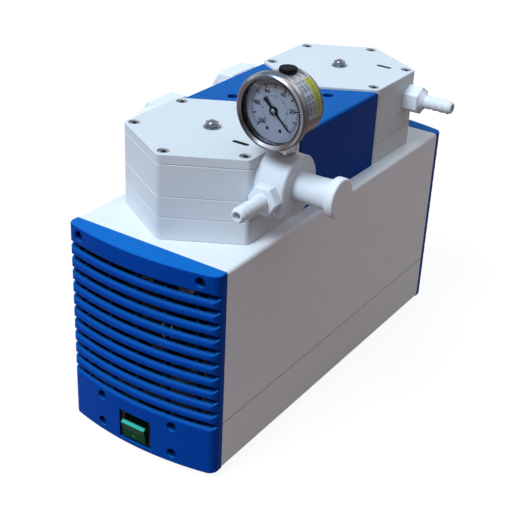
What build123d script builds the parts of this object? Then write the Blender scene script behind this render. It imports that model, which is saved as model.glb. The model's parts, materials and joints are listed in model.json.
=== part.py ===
from build123d import *
import math
import os

os.makedirs("parts", exist_ok=True)

# Two-head diaphragm vacuum pump, in millimetres.
# X runs to the regulator side, Y from the switch end to the mains end, Z up.
# The origin is the middle of the housing's flat underside, so the feet reach below it.

# Housing
housing_width = 144.0
housing_height = 178.5
seam_height = 43.9
seam_gap = 0.3
sheet = 2.0
bend_radius = 3.0
end_flange = 22.0
end_wall_height = 41.0

# End caps
cap_depth = 20.0
cap_side_depth = 10.6
cap_corner = 8.0
cap_wall = 3.0
cap_side_wall = 10.0
cap_edge = 1.2
louvre_pitch = 11.42
louvre_first = 45.6
louvre_top_band = 18.0
louvre_depth = 4.6
louvre_mouth = 4.7
louvre_root = 1.5
louvre_curve = (1.35, 2.65)
louvre_overrun = 6.0
rib_places = (-54.0, -27.0, 0.0, 27.0, 54.0)
rib_thickness = 2.4
rib_depth = 9.0

# Case screws, M4 with pan heads, and what they pass through
screw_radius = 2.0
screw_length = 12.0
screw_head_radius = 3.7
screw_head_height = 2.6
screw_hole = 2.15
thread_hole = 2.03
thread_bush_radius = 4.2
thread_bush_length = 5.0
recess_radius = 4.4
recess_floor = 6.0
boss_radius = 6.6
cap_top_screw_side = 14.0
cap_top_screw_drop = 7.2
cap_low_screw_x = 35.5
cap_low_screw_z = (9.0, 35.0)

# Switch and mains socket, which share one window size
window_half_width = 16.0
window_half_height = 13.5
window_z = 17.4
window_ledge = 2.6
window_pad = 3.0
panel_recess = 2.4
panel_gap = 0.3
panel_frame = 2.0
panel_body_half_width = 13.6
panel_body_half_height = 12.6
panel_body_depth = 24.0
switch_mouth_half_width = 12.0
switch_mouth_half_height = 11.0
switch_mouth_depth = 15.0
rocker_half_width = 11.5
rocker_pivot_depth = 8.0
rocker_tilt = 10.0
rocker_profile = ((11.8, 0.0), (12.6, 7.2), (7.5, 8.4), (0.0, 9.6), (-3.0, 6.0))
rocker_pin_radius = 1.5
rocker_pin_reach = 12.8
running_gap = 0.05
socket_half_width = 12.0
socket_half_height = 8.3
socket_depth = 17.0
blade_places = ((0.0, 2.0), (-7.0, -2.0), (7.0, -2.0))
blade_size = (2.0, 4.5)
blade_length = 10.0

# Feet
foot_radius = 10.0
foot_height = 6.0
foot_side = 22.0
foot_inset = 45.0
foot_web = 3.0

# Threaded holes in the floor, to bolt the pump down
base_bolt_radius = 2.5
base_bolt_bush_radius = 4.5
base_bolt_side = 22.0
base_bolt_inset = 71.25

# Pump heads
head_pitch = 194.3
head_front_margin = 77.1
head_rear_margin = 71.1
head_vertex_radius = 68.7
head_turn = 30.0
head_corner = 5.0
head_edge = 0.5
base_height = 18.8
plate_height = 17.0
block_height = 25.8
lid_height = 8.0
head_screw_circle = 60.2
head_screw_radius = 2.5
head_screw_head_radius = 4.2
head_screw_head_height = 5.0
head_screw_recess_radius = 4.8
head_screw_recess = 5.6
head_screw_socket = 4.0
head_screw_bite = 12.0
port_offset = 24.0
port_bore = 5.0
port_rise = 11.2
dome_flange_radius = 7.0
dome_flange_height = 1.4
dome_nut_flats = 10.0
dome_nut_height = 2.4
dome_radius = 5.2
dome_sink = 3.0
dome_stud_radius = 3.0
dome_stud_length = 20.0
lid_mark_length = 12.5
lid_mark_width = 1.6
lid_mark_depth = 1.0
lid_mark_places = {"front": (35.4, -12.4), "rear": (33.0, 23.8)}

# Diaphragm, clamp and valves
crank_throw = 4.0
diaphragm_radius = 52.0
diaphragm_thickness = 2.2
chamber_radius = 44.0
chamber_flat_radius = 33.0
chamber_height = 8.2
chamber_rim = 1.5
clamp_radius = 27.0
clamp_thickness = 3.0
clamp_stem_radius = 6.0
clamp_stem_length = 16.0
body_gap = 0.35
valve_x = 30.0
valve_radius = 9.0
valve_thickness = 1.2
valve_lift = 1.2
valve_hole = 5.0

# Crankcases and drive
shaft_drop = 88.5
shaft_radius = 7.5
shaft_end = 3.0
crankcase_half_length = 30.0
crankcase_radius = 56.0
crankcase_wall = 6.0
neck_outline = ((0.0, -68.5), (34.0, -68.5), (34.0, -40.5), (49.0, -20.5), (49.0, 0.0))
neck_bore = ((0.0, -74.5), (28.0, -74.5), (28.0, -37.5), (44.0, -17.5), (44.0, 1.0))
neck_gap = 1.0
cover_hub_radius = 20.0
cover_hub_length = 5.0
bearing_radius = 16.0
bearing_width = 9.0
bearing_lip = 1.5
eccentric_radius = 15.0
eccentric_width = 14.0
crank_bearing_radius = 27.5
crank_bearing_width = 13.0
rod_eye_radius = 34.0
rod_shank_width = 22.0
rod_shank_thickness = 11.0
weight_radius = 36.0
weight_thickness = 6.0
stator_radius = 52.0
stator_bore = 30.2
bell_clearance = 5.15
stator_slots = 12
stator_slot_depth = 44.0
stator_slot_width = 7.0
air_gap = 0.5
winding_gap = 0.2
winding_outline = ((33.0, 0.0), (46.0, 0.0), (46.0, 6.0), (38.0, 12.5), (33.0, 12.5))
bell_outer = ((10.0, 21.0), (10.0, 23.0), (20.0, 23.0), (24.0, 19.0), (42.0, 19.0), (52.0, 6.0), (52.0, 0.0))
bell_inner = ((48.0, 0.0), (48.0, 5.0), (40.0, 15.5), (20.0, 15.5), (20.0, 12.0), (16.03, 12.0), (16.03, 21.0))
fan_radius = 56.0
fan_hub_radius = 14.0
fan_width = 14.0
fan_blades = 7
fan_blade_thickness = 2.0
fan_blade_twist = 35.0
fan_clearance = 8.85
cradle_side = 40.0
cradle_plate = 8.0
cradle_upright = 10.0
cradle_top = 50.0
capacitor_radius = 15.0
capacitor_length = 68.0
capacitor_gap = 4.0

# Regulator on the front head's right flat
regulator_offset = -6.7
regulator_radius = 23.5
regulator_length = 26.0
regulator_front_drop = 17.5
regulator_cavity_radius = 7.0
regulator_edge = 1.0
neck_bell = (11.4, 12.0)
neck_bell_length = 28.2
neck_spigot_radius = 9.0
neck_spigot_length = 3.5
knob_radius = 15.5
knob_length = 8.0
knob_gap = 0.3
knob_web = 1.5
stem_radius = 4.0
stem_start = 15.5
stem_length = 42.0
stem_tip = 5.0

# Hose barbs
barb_radius = 6.0
barb_relief = 5.3
barb_bore = 3.2
barb_pitch = 6.5
barb_land = 1.2
barb_count = 3
barb_nose = 3.0
barb_nose_radius = 4.6
barb_hex_flats = 22.0
inlet_shank = 9.0
inlet_hex_length = 8.0
inlet_below_axis = 5.2
spigot_radius = 5.5
spigot_length = 6.0
fit_gap = 0.03
outlet_nut_length = 14.5
outlet_shoulder = 4.0
outlet_shank = 3.0

# Gauge, measured from its stem's axis towards the front
gauge_radius = 25.5
gauge_rise = 61.8
gauge_back = -7.5
gauge_rim = 23.5
gauge_wall = 1.2
gauge_round = 3.0
bezel_front = 27.5
bezel_back = 19.5
bezel_radius = 28.7
bezel_opening = 24.2
bezel_lip = 1.8
glass_thickness = 2.0
dial_radius = 24.0
dial_front = 19.5
dial_thickness = 0.8
gauge_stem_radius = 6.0
gauge_hex_flats = 14.0
gauge_hex_height = 7.0
gauge_hex_stand = 1.5
needle_length = 18.5
needle_tail = 11.5
needle_half_width = 0.8
needle_back = 20.4
needle_front = 21.0
needle_hub_radius = 3.0
needle_hub_front = 22.2
needle_rest_angle = -45.0
arbor_radius = 1.0
movement_back = 1.0
movement_front = 13.0
movement_radius = 12.0
plug_radius = 6.6
plug_stand = 2.2
plug_front = 4.5

# Link between the heads on the left side
link_reach = 20.5
elbow_radius = 12.0
link_nut_flats = 26.0
link_nut_start = 4.0
link_nut_length = 36.0
link_tube_radius = 6.0
link_tube_bore = 4.0
link_insert = 12.0

# Saddle cover
saddle_height = 67.8
saddle_gap = 1.2
saddle_wall = 2.6
saddle_edge = 3.0
saddle_screw_x = 30.0
saddle_screw_inset = 70.15
saddle_pillar_radius = 7.0
saddle_recess_radius = 4.6

# Derived places
half_width = housing_width / 2
housing_length = head_pitch + head_front_margin + head_rear_margin
half_length = housing_length / 2
cover_base = seam_height + seam_gap
shaft_z = housing_height - shaft_drop
cap_bow = cap_depth - cap_side_depth
bow_radius = (half_width**2 + cap_bow**2) / (2 * cap_bow)
panel_face = cap_depth - panel_recess
cap_cavity_half_width = half_width - cap_side_wall
louvre_count = 1 + int((housing_height - louvre_top_band - louvre_first) / louvre_pitch)
head_middle_y = (head_front_margin - head_rear_margin) / 2
head_y = {"front": head_middle_y - head_pitch / 2, "rear": head_middle_y + head_pitch / 2}
throw = {"front": crank_throw, "rear": -crank_throw}
head_flat = head_vertex_radius * math.cos(math.radians(head_turn))
base_top = housing_height + base_height
plate_top = base_top + plate_height
block_top = plate_top + block_height
lid_top = block_top + lid_height
port_z = plate_top + port_rise
regulator_y = head_y["front"] + regulator_offset
regulator_x = head_flat + regulator_length / 2
regulator_end = head_flat + regulator_length
neck_end = regulator_end + neck_bell_length
intake_place = {
    "front": (valve_x, regulator_y),
    "rear": (-valve_x, head_y["rear"] - port_offset),
}
exhaust_place = {
    "front": (-valve_x, head_y["front"] + port_offset),
    "rear": (valve_x, head_y["rear"] + port_offset),
}
gauge_z = port_z + gauge_rise
link_x = -head_flat - link_reach
saddle_screw_y = head_pitch / 2 - saddle_screw_inset
foot_x = half_width - foot_side
bell_length = bell_outer[2][1]
stator_length = head_pitch - 2 * (crankcase_half_length + bell_clearance + bell_length)
cover_reach = head_pitch / 2 + crankcase_half_length
fan_reach = cover_reach + fan_clearance + fan_width
shaft_half_length = fan_reach + shaft_end
cradle_half_width = half_width - cradle_side
capacitor_x = sheet + capacitor_gap + capacitor_radius - half_width
valve_pocket = valve_radius + 0.5
valve_room = valve_thickness + valve_lift + 2 * body_gap
ENDS = ("front", "rear")
LOW = (Align.CENTER, Align.CENTER, Align.MIN)
CORNER = (Align.MIN, Align.MIN, Align.MIN)


def save(node, *shapes):
    """Write one node; several separate pieces become one compound."""
    solids = [solid for shape in shapes for solid in shape.solids()]
    export_step(solids[0] if len(solids) == 1 else Compound(solids), f"parts/{node}.step")


def rod_z(radius, low, high, x=0.0, y=0.0):
    return Pos(x, y, low) * Cylinder(radius, high - low, align=LOW)


def rod_x(radius, low, high, y=0.0, z=0.0):
    return Pos(low, y, z) * Rot(0, 90, 0) * Cylinder(radius, high - low, align=LOW)


def rod_y(radius, low, high, x=0.0, z=0.0):
    return Pos(x, low, z) * Rot(-90, 0, 0) * Cylinder(radius, high - low, align=LOW)


def slab(x0, x1, y0, y1, z0, z1):
    """A block between two corners."""
    return Pos(x0, y0, z0) * Box(x1 - x0, y1 - y0, z1 - z0, align=CORNER)


def turned(outline):
    """A solid turned about Z from its (radius, height) corners."""
    return revolve(Plane.XZ * make_face(Polyline(*outline, close=True)), Axis.Z)


def hex_prism(flats, height):
    return extrude(RegularPolygon(flats / 2, 6, major_radius=False), height)


def at_front(shape):
    """Move a piece made about the cap seam to the switch end."""
    return Pos(0, -half_length, 0) * shape


def at_rear(shape):
    """Move a piece made about the cap seam to the mains end."""
    return Rot(0, 0, 180) * at_front(shape)


def cap_low_places():
    return [(side * cap_low_screw_x, z) for side in (-1, 1) for z in cap_low_screw_z]


def cap_top_places():
    x, z = half_width - cap_top_screw_side, housing_height - cap_top_screw_drop
    return [(-x, z), (x, z)]


def bow_depth(x):
    return cap_depth - (bow_radius - math.sqrt(bow_radius**2 - x**2))


def bow_arc(inset, half_span):
    side = bow_depth(half_span) - inset
    return ThreePointArc((-half_span, -side), (0, inset - cap_depth), (half_span, -side))


def cap_plan(inset, half_span, seam):
    """The cap seen from above: a bowed front between two straight sides, closed at the seam line."""
    side = bow_depth(half_span) - inset
    bow = bow_arc(inset, half_span)
    rest = Polyline((half_span, -side), (half_span, seam), (-half_span, seam), (-half_span, -side))
    return make_face((bow + rest).edges())


def cap_outline(seam):
    plan = cap_plan(0, half_width, seam)
    return fillet(plan.vertices().sort_by(Axis.Y)[:2], cap_corner)


def louvre():
    """One groove along the bow, cut straight in from the front: its lips curve down to a narrow root."""
    path = bow_arc(0, half_width + louvre_overrun)
    plane = Plane(origin=path @ 0, x_dir=Vector(0, 0, 1).cross(path % 0), z_dir=path % 0)
    sides = []
    for side in (-1, 1):
        mouth, root = (0, side * louvre_mouth), (louvre_depth, side * louvre_root)
        sides.append(ThreePointArc(mouth, (louvre_curve[0], side * louvre_curve[1]), root))
        sides.append(Line(mouth, (-louvre_overrun, side * louvre_mouth)))
    ends = [
        Line((louvre_depth, -louvre_root), (louvre_depth, louvre_root)),
        Line((-louvre_overrun, -louvre_mouth), (-louvre_overrun, louvre_mouth)),
    ]
    return sweep(plane * make_face(sides + ends), path=path)


def cap():
    """An end cap: bowed shell with louvres, ribs, screw bosses and the panel window."""
    body = extrude(cap_outline(0), housing_height)
    rims = body.faces().sort_by(Axis.Z)
    outer = [edge for face in (rims[0], rims[-1]) for edge in face.edges() if edge.center().Y < -1e-3]
    body = fillet(outer, cap_edge)
    cavity = Pos(0, 0, cap_wall) * extrude(
        cap_plan(cap_wall, cap_cavity_half_width, 1.0), housing_height - 2 * cap_wall
    )
    body -= cavity
    bosses = [rod_y(boss_radius, 1 - bow_depth(x), 0, x, z) for x, z in cap_low_places() + cap_top_places()]
    body += bosses
    rib_low = louvre_first - louvre_pitch / 2
    rib_high = rib_low + louvre_count * louvre_pitch
    half_rib = rib_thickness / 2
    body += [
        slab(x - half_rib, x + half_rib, 0.5 + cap_wall - bow_depth(x) - 1, rib_depth - bow_depth(x), rib_low, rib_high)
        for x in rib_places
    ]
    body += slab(
        -window_half_width - window_pad,
        window_half_width + window_pad,
        0.5 + cap_wall - cap_depth - 1,
        panel_frame + window_ledge - panel_face,
        1.0,
        window_z + window_half_height + window_pad,
    )
    groove = louvre()
    body -= [Pos(0, 0, louvre_first + i * louvre_pitch) * groove for i in range(louvre_count)]
    body -= slab(
        -window_half_width,
        window_half_width,
        -cap_depth - 1,
        panel_frame - panel_face,
        window_z - window_half_height,
        window_z + window_half_height,
    )
    body -= slab(
        -panel_body_half_width - panel_gap,
        panel_body_half_width + panel_gap,
        -cap_depth,
        0,
        window_z - panel_body_half_height - panel_gap,
        window_z + panel_body_half_height + panel_gap,
    )
    for x, z in cap_low_places() + cap_top_places():
        body -= rod_y(recess_radius, -cap_depth - 1, -recess_floor, x, z)
        body -= rod_y(screw_hole, -recess_floor - 1, 1, x, z)
    return body


def panel_body(half_height):
    """Snap-in body of the switch or the socket: a frame in the window and a box behind it."""
    frame = slab(
        panel_gap - window_half_width,
        window_half_width - panel_gap,
        -panel_face,
        panel_frame - panel_face,
        window_z - window_half_height + panel_gap,
        window_z + window_half_height - panel_gap,
    )
    box = slab(
        -panel_body_half_width,
        panel_body_half_width,
        1 - panel_face,
        panel_body_depth - panel_face,
        window_z - half_height,
        window_z + half_height,
    )
    return frame + box


def switch_body():
    mouth = slab(
        -switch_mouth_half_width,
        switch_mouth_half_width,
        -panel_face - 1,
        switch_mouth_depth - panel_face,
        window_z - switch_mouth_half_height,
        window_z + switch_mouth_half_height,
    )
    pivot_y = rocker_pivot_depth - panel_face
    reach = rocker_pin_reach + 0.3
    pin = rod_x(rocker_pin_radius + running_gap, -reach, reach, pivot_y, window_z)
    return panel_body(panel_body_half_height) - mouth - pin


def switch_rocker():
    """The rocker: dished face, ends tapered so that they clear the frame, and two trunnions."""
    upper = [(-out, high) for out, high in rocker_profile]
    lower = [(-out, -high) for out, high in reversed(rocker_profile[1:])]
    outline = Plane.YZ * make_face(Polyline(*upper, *lower, close=True))
    body = Pos(-rocker_half_width, 0, 0) * extrude(outline, 2 * rocker_half_width)
    body += rod_x(rocker_pin_radius, -rocker_pin_reach, rocker_pin_reach)
    return Pos(0, rocker_pivot_depth - panel_face, window_z) * Rot(rocker_tilt, 0, 0) * body


def mains_inlet():
    """Socket body with three flat blades inside its cavity."""
    body = panel_body(socket_half_height + 1.7)
    floor = socket_depth - panel_face
    body -= slab(
        -socket_half_width,
        socket_half_width,
        -panel_face - 1,
        floor,
        window_z - socket_half_height,
        window_z + socket_half_height,
    )
    return body


def mains_blades():
    floor = socket_depth - panel_face
    wide, high = blade_size
    return [
        slab(x - wide / 2, x + wide / 2, floor - blade_length, floor, window_z + z - high / 2, window_z + z + high / 2)
        for x, z in blade_places
    ]


def bush(x, z):
    """A pressed thread bush on the inside of an end wall."""
    return rod_y(thread_bush_radius, sheet - 0.1, sheet + thread_bush_length, x, z)


def base_pan():
    """Bent tray: floor, two sides, and end walls that carry the caps' lower screws."""
    body = slab(-half_width, half_width, -half_length, half_length, 0, seam_height)
    edges = body.edges().filter_by(Axis.Y).group_by(Axis.Z)[0]
    body = fillet(edges, bend_radius)
    inside = slab(
        sheet - half_width, half_width - sheet, sheet - half_length, half_length - sheet, sheet, seam_height + 1
    )
    floor_edges = inside.edges().filter_by(Axis.Y).group_by(Axis.Z)[0]
    body -= fillet(floor_edges, bend_radius - sheet)
    gate = panel_body_half_width + 1.0
    window_low = window_z - panel_body_half_height - 1.0
    window_high = window_z + panel_body_half_height + 1.0
    bushes = [bush(x, z) for x, z in cap_low_places()]
    for place in (at_front, at_rear):
        body += [place(item) for item in bushes]
        body -= place(slab(-gate, gate, -1, sheet + 1, window_low, window_high))
        body -= place(slab(sheet - half_width, half_width - sheet, -1, sheet + 1, end_wall_height, seam_height + 1))
        body -= [place(rod_y(thread_hole, -1, sheet + thread_bush_length + 1, x, z)) for x, z in cap_low_places()]
    for x, y in foot_places():
        body += rod_z(thread_bush_radius, sheet - 0.1, sheet + thread_bush_length, x, y)
        body -= rod_z(thread_hole, -1, sheet + thread_bush_length + 1, x, y)
    for x, y in base_bolt_places():
        body += rod_z(base_bolt_bush_radius, sheet - 0.1, sheet + thread_bush_length, x, y)
        body -= rod_z(base_bolt_radius, -1, sheet + thread_bush_length + 1, x, y)
    return body


def base_bolt_places():
    across = half_width - base_bolt_side
    along = half_length - base_bolt_inset
    return [(x, y) for x in (-across, across) for y in (-along, along)]


def foot_places():
    reach = half_length - foot_inset
    return [(x, y) for x in (-foot_x, foot_x) for y in (-reach, reach)]


def saddle_places():
    return [
        (x, head_middle_y + y)
        for x in (-saddle_screw_x, saddle_screw_x)
        for y in (-saddle_screw_y, saddle_screw_y)
    ]


def upper_cover():
    """Bent cover: top, two sides, and end flanges that carry the caps' upper screws."""
    body = slab(-half_width, half_width, -half_length, half_length, cover_base, housing_height)
    body = fillet(body.edges().filter_by(Axis.Y).group_by(Axis.Z)[-1], bend_radius)
    inside = slab(
        sheet - half_width,
        half_width - sheet,
        sheet - half_length,
        half_length - sheet,
        cover_base - 1,
        housing_height - sheet,
    )
    body -= fillet(inside.edges().filter_by(Axis.Y).group_by(Axis.Z)[-1], bend_radius - sheet)
    opening = slab(
        sheet - half_width, half_width - sheet, -1, sheet + 1, cover_base - 1, housing_height - end_flange
    )
    for place in (at_front, at_rear):
        body -= place(opening)
        body += [place(bush(x, z)) for x, z in cap_top_places()]
        body -= [place(rod_y(thread_hole, -1, sheet + thread_bush_length + 1, x, z)) for x, z in cap_top_places()]
    neck_radius = neck_outline[-1][0]
    for end in ENDS:
        body -= rod_z(neck_radius + neck_gap, housing_height - sheet - 1, housing_height + 1, 0, head_y[end])
    for x, y in saddle_places():
        low = housing_height - sheet - thread_bush_length
        body += rod_z(thread_bush_radius, low, housing_height - sheet + 0.1, x, y)
        body -= rod_z(thread_hole, low - 1, housing_height + 1, x, y)
    return body


def case_screw():
    """M4 pan head screw: underside of its head at Z = 0, shank going down."""
    crown = screw_head_height
    return turned(
        (
            (0, -screw_length),
            (screw_radius - 0.3, -screw_length),
            (screw_radius, 0.5 - screw_length),
            (screw_radius, 0),
            (screw_head_radius, 0),
            (screw_head_radius, crown - 1.0),
            (screw_head_radius - 1.2, crown),
            (0, crown),
        )
    )


def case_screws():
    screw = case_screw()
    facing = Rot(90, 0, 0) * screw
    screws = []
    for place in (at_front, at_rear):
        screws += [place(Pos(x, -recess_floor, z) * facing) for x, z in cap_low_places() + cap_top_places()]
    screws += [Pos(x, y, -foot_web) * Rot(180, 0, 0) * screw for x, y in foot_places()]
    screws += [Pos(x, y, housing_height + saddle_floor()) * screw for x, y in saddle_places()]
    return screws


def saddle_floor():
    return screw_length - sheet - thread_bush_length


def rubber_foot():
    """Round foot with a recess from below for its screw."""
    return turned(
        (
            (screw_hole, 0),
            (foot_radius, 0),
            (foot_radius, 1 - foot_height),
            (foot_radius - 1, -foot_height),
            (recess_radius, -foot_height),
            (recess_radius, -foot_web),
            (screw_hole, -foot_web),
        )
    )


def hexagon(offset=0.0, corner=head_corner):
    """A head's outline: two flats face the housing's sides, two corners point along it."""
    radius = head_vertex_radius + offset / math.cos(math.radians(30))
    outline = RegularPolygon(radius, 6, rotation=head_turn)
    return fillet(outline.vertices(), corner)


def head_layer(end, low, height):
    body = Pos(0, head_y[end], low) * extrude(hexagon(), height)
    faces = body.faces().sort_by(Axis.Z)
    return chamfer(faces[0].edges() + faces[-1].edges(), head_edge)


def head_screw_places(end):
    turns = [math.radians(head_turn + 60 * k) for k in range(6)]
    return [
        (head_screw_circle * math.cos(turn), head_y[end] + head_screw_circle * math.sin(turn)) for turn in turns
    ]


def head_base(end):
    body = head_layer(end, housing_height, base_height)
    body -= rod_z(chamber_radius, housing_height - 1, base_top + 1, 0, head_y[end])
    body -= rod_z(diaphragm_radius + fit_gap, base_top - diaphragm_thickness, base_top + 1, 0, head_y[end])
    body -= [
        rod_z(head_screw_radius + fit_gap, base_top - head_screw_bite - 1, base_top + 1, x, y)
        for x, y in head_screw_places(end)
    ]
    return body


def chamber_plate(end):
    """Chamber roof with the intake valve's pocket on top and both valve holes."""
    body = head_layer(end, base_top, plate_height)
    room = turned(
        (
            (0, -1),
            (chamber_radius, -1),
            (chamber_radius, chamber_rim),
            (chamber_flat_radius, chamber_height),
            (0, chamber_height),
        )
    )
    body -= Pos(0, head_y[end], base_top) * room
    for place in (intake_place, exhaust_place):
        body -= rod_z(valve_hole, base_top + 1, plate_top + 1, *place[end])
    body -= rod_z(valve_pocket, plate_top - valve_room, plate_top + 1, *intake_place[end])
    body -= screw_passages(end, base_top - 1, plate_top + 1)
    return body


def screw_passages(end, low, high):
    return [rod_z(head_screw_radius + 0.2, low, high, x, y) for x, y in head_screw_places(end)]


def port_block(end):
    """Block with both ports from the side flats and the exhaust valve's pocket below."""
    body = head_layer(end, plate_top, block_height)
    for place in (intake_place, exhaust_place):
        x, y = place[end]
        outer = math.copysign(head_flat + 1, x)
        body -= rod_x(port_bore, min(x, outer), max(x, outer), y, port_z)
        body -= rod_z(valve_hole, plate_top - 1, port_z, x, y)
    body -= rod_z(valve_pocket, plate_top - 1, plate_top + valve_room, *exhaust_place[end])
    body -= rod_z(dome_stud_radius + fit_gap, lid_top - dome_stud_length - 1, block_top + 1, 0, head_y[end])
    body -= screw_passages(end, plate_top - 1, block_top + 1)
    return body


def head_lid(end):
    """Lid with recessed screws, the stud's hole and a short slot mark."""
    body = head_layer(end, block_top, lid_height)
    body -= screw_passages(end, block_top - 1, lid_top + 1)
    body -= [
        rod_z(head_screw_recess_radius, lid_top - head_screw_recess, lid_top + 1, x, y)
        for x, y in head_screw_places(end)
    ]
    body -= rod_z(dome_stud_radius + fit_gap, block_top - 1, lid_top + 1, 0, head_y[end])
    x, y = lid_mark_places[end]
    mark = Pos(x, head_y[end] + y, lid_top - lid_mark_depth) * extrude(
        SlotOverall(lid_mark_length, lid_mark_width), lid_mark_depth + 1
    )
    return body - mark


def head_screw(end):
    """Long socket head screw, its head sunk in the lid."""
    under = lid_top - head_screw_recess
    low = base_top - head_screw_bite
    top = under + head_screw_head_height
    body = turned(
        (
            (0, low),
            (head_screw_radius, low),
            (head_screw_radius, under),
            (head_screw_head_radius, under),
            (head_screw_head_radius, top - 0.5),
            (head_screw_head_radius - 0.5, top),
            (0, top),
        )
    )
    body -= Pos(0, 0, top - 2.5) * hex_prism(head_screw_socket, 3)
    return [Pos(x, y, 0) * body for x, y in head_screw_places(end)]


def dome_nut(end):
    """Acorn nut with a flange, on a stud that runs down into the port block."""
    low = lid_top - dome_stud_length
    flange = lid_top + dome_flange_height
    nut_top = flange + dome_nut_height
    reach = dome_nut_flats / 2
    body = turned(
        (
            (0, low),
            (dome_stud_radius, low),
            (dome_stud_radius, lid_top),
            (dome_flange_radius, lid_top),
            (dome_flange_radius, lid_top + 0.6),
            (reach, flange),
            (0, flange),
        )
    )
    body += Pos(0, 0, lid_top + 0.5) * hex_prism(dome_nut_flats, nut_top - lid_top - 0.5)
    dome = Pos(0, 0, nut_top - dome_sink) * Sphere(dome_radius)
    body += dome & rod_z(reach, nut_top - 1, nut_top + reach)
    return Pos(0, head_y[end], 0) * body


def diaphragm(end):
    """Rubber disc: rim clamped flat, middle carried up or down by its rod."""
    rise = throw[end]
    low = -diaphragm_thickness
    body = turned(
        (
            (clamp_stem_radius + body_gap, rise + low),
            (clamp_radius + 1, rise + low),
            (chamber_radius - 1, low),
            (diaphragm_radius, low),
            (diaphragm_radius, 0),
            (chamber_radius - 1, 0),
            (clamp_radius + 1, rise),
            (clamp_stem_radius + body_gap, rise),
        )
    )
    return Pos(0, head_y[end], base_top) * body


def clamp_disc(end):
    """Disc above the diaphragm with a stem down into the rod."""
    low = body_gap
    top = low + clamp_thickness
    body = turned(
        (
            (0, low - clamp_stem_length),
            (clamp_stem_radius, low - clamp_stem_length),
            (clamp_stem_radius, low),
            (clamp_radius - 1, low),
            (clamp_radius, low + 1),
            (clamp_radius, top - 1),
            (clamp_radius - 1, top),
            (0, top),
        )
    )
    return Pos(0, head_y[end], base_top + throw[end]) * body


def valve_disc(place, low):
    return rod_z(valve_radius, low, low + valve_thickness, *place)


def connecting_rod(end):
    """Big end round the crank bearing, a flat shank, and a table under the diaphragm."""
    half = crank_bearing_width / 2
    table_top = base_top - shaft_z - diaphragm_thickness - body_gap
    table_low = table_top - clamp_thickness
    body = rod_y(rod_eye_radius, -half, half)
    shank = slab(
        -rod_shank_width / 2,
        rod_shank_width / 2,
        -rod_shank_thickness / 2,
        rod_shank_thickness / 2,
        crank_bearing_radius + 1,
        table_low + 1,
    )
    neck = turned(((0, table_low - 14), (10, table_low - 14), (18, table_low + 1), (0, table_low + 1)))
    body += shank
    body += neck
    body += rod_z(clamp_radius, table_low, table_top)
    body -= rod_y(crank_bearing_radius + fit_gap, -half - 1, half + 1)
    body -= rod_z(clamp_stem_radius + fit_gap, table_top - clamp_stem_length, table_top + 1)
    return Pos(0, head_y[end], shaft_z + throw[end]) * body


def crank_bearing(end):
    """Ball bearing between eccentric and rod, its races shown by a groove on each side."""
    half = crank_bearing_width / 2
    inner = eccentric_radius + running_gap
    body = Rot(-90, 0, 0) * bearing(inner, crank_bearing_radius, half)
    return Pos(0, head_y[end], shaft_z + throw[end]) * body


def bearing(inner, outer, half):
    third = (outer - inner) / 3
    groove = 1.0
    return turned(
        (
            (inner, -half),
            (inner + third, -half),
            (inner + third, groove - half),
            (outer - third, groove - half),
            (outer - third, -half),
            (outer, -half),
            (outer, half),
            (outer - third, half),
            (outer - third, half - groove),
            (inner + third, half - groove),
            (inner + third, half),
            (inner, half),
        )
    )


def eccentric(end):
    """Eccentric on the shaft with a counterweight on the motor side, opposite its pin."""
    facing = 1 if end == "front" else -1
    half = eccentric_width / 2
    side = math.copysign(1, throw[end])
    body = rod_y(eccentric_radius, -half, half, 0, throw[end])
    inner = facing * half
    outer = facing * (half + weight_thickness)
    weight = rod_y(weight_radius, min(inner, outer), max(inner, outer))
    weight &= slab(
        -weight_radius,
        weight_radius,
        min(inner, outer),
        max(inner, outer),
        min(0, -side * weight_radius),
        max(0, -side * weight_radius),
    )
    body += weight
    body += rod_y(eccentric_radius - crank_throw, min(inner, outer), max(inner, outer))
    body -= rod_y(shaft_radius + fit_gap, -40, 40)
    return Pos(0, head_y[end], shaft_z) * body


def crankcase(end):
    """Cast crankcase with its neck up to the head, and the end cover with a shaft bearing seat."""
    half = crankcase_half_length
    inner = crankcase_radius - crankcase_wall
    neck = Pos(0, 0, housing_height) * turned((*neck_outline, (0, neck_outline[-1][1])))
    neck_room = Pos(0, 0, housing_height) * turned((*neck_bore, (0, neck_bore[-1][1])))
    case = rod_y(crankcase_radius, -half, half, 0, shaft_z) + neck
    case -= rod_y(inner, -half - 1, half - crankcase_wall, 0, shaft_z)
    case -= neck_room
    case -= rod_y(shaft_radius + 3, 0, half + 1, 0, shaft_z)
    cover = rod_y(inner - 0.1, -half, crankcase_wall - half, 0, shaft_z)
    cover += rod_y(cover_hub_radius, -half, crankcase_wall + cover_hub_length - half, 0, shaft_z)
    seat = bearing_lip - half
    cover -= rod_y(bearing_radius + fit_gap, seat, 0, 0, shaft_z)
    cover -= rod_y(shaft_radius + 1, -half - 1, 0, 0, shaft_z)
    turn = Rot(0, 0, 0) if end == "front" else Rot(0, 0, 180)
    return [Pos(0, head_y[end], 0) * turn * piece for piece in (case, cover)]


def stator():
    """Laminated ring with slots open to the bore."""
    body = Cylinder(stator_radius, stator_length) - Cylinder(stator_bore, stator_length + 2)
    half = stator_slot_width / 2
    slot = slab(stator_bore - 3, stator_slot_depth, -half, half, -stator_length, stator_length)
    body -= [Rot(0, 0, 360 * k / stator_slots) * slot for k in range(stator_slots)]
    return on_shaft(body)


def on_shaft(shape):
    """Move a piece made about Z to the shaft's axis, middle of the motor."""
    return Pos(0, head_middle_y, shaft_z) * Rot(-90, 0, 0) * shape


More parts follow.
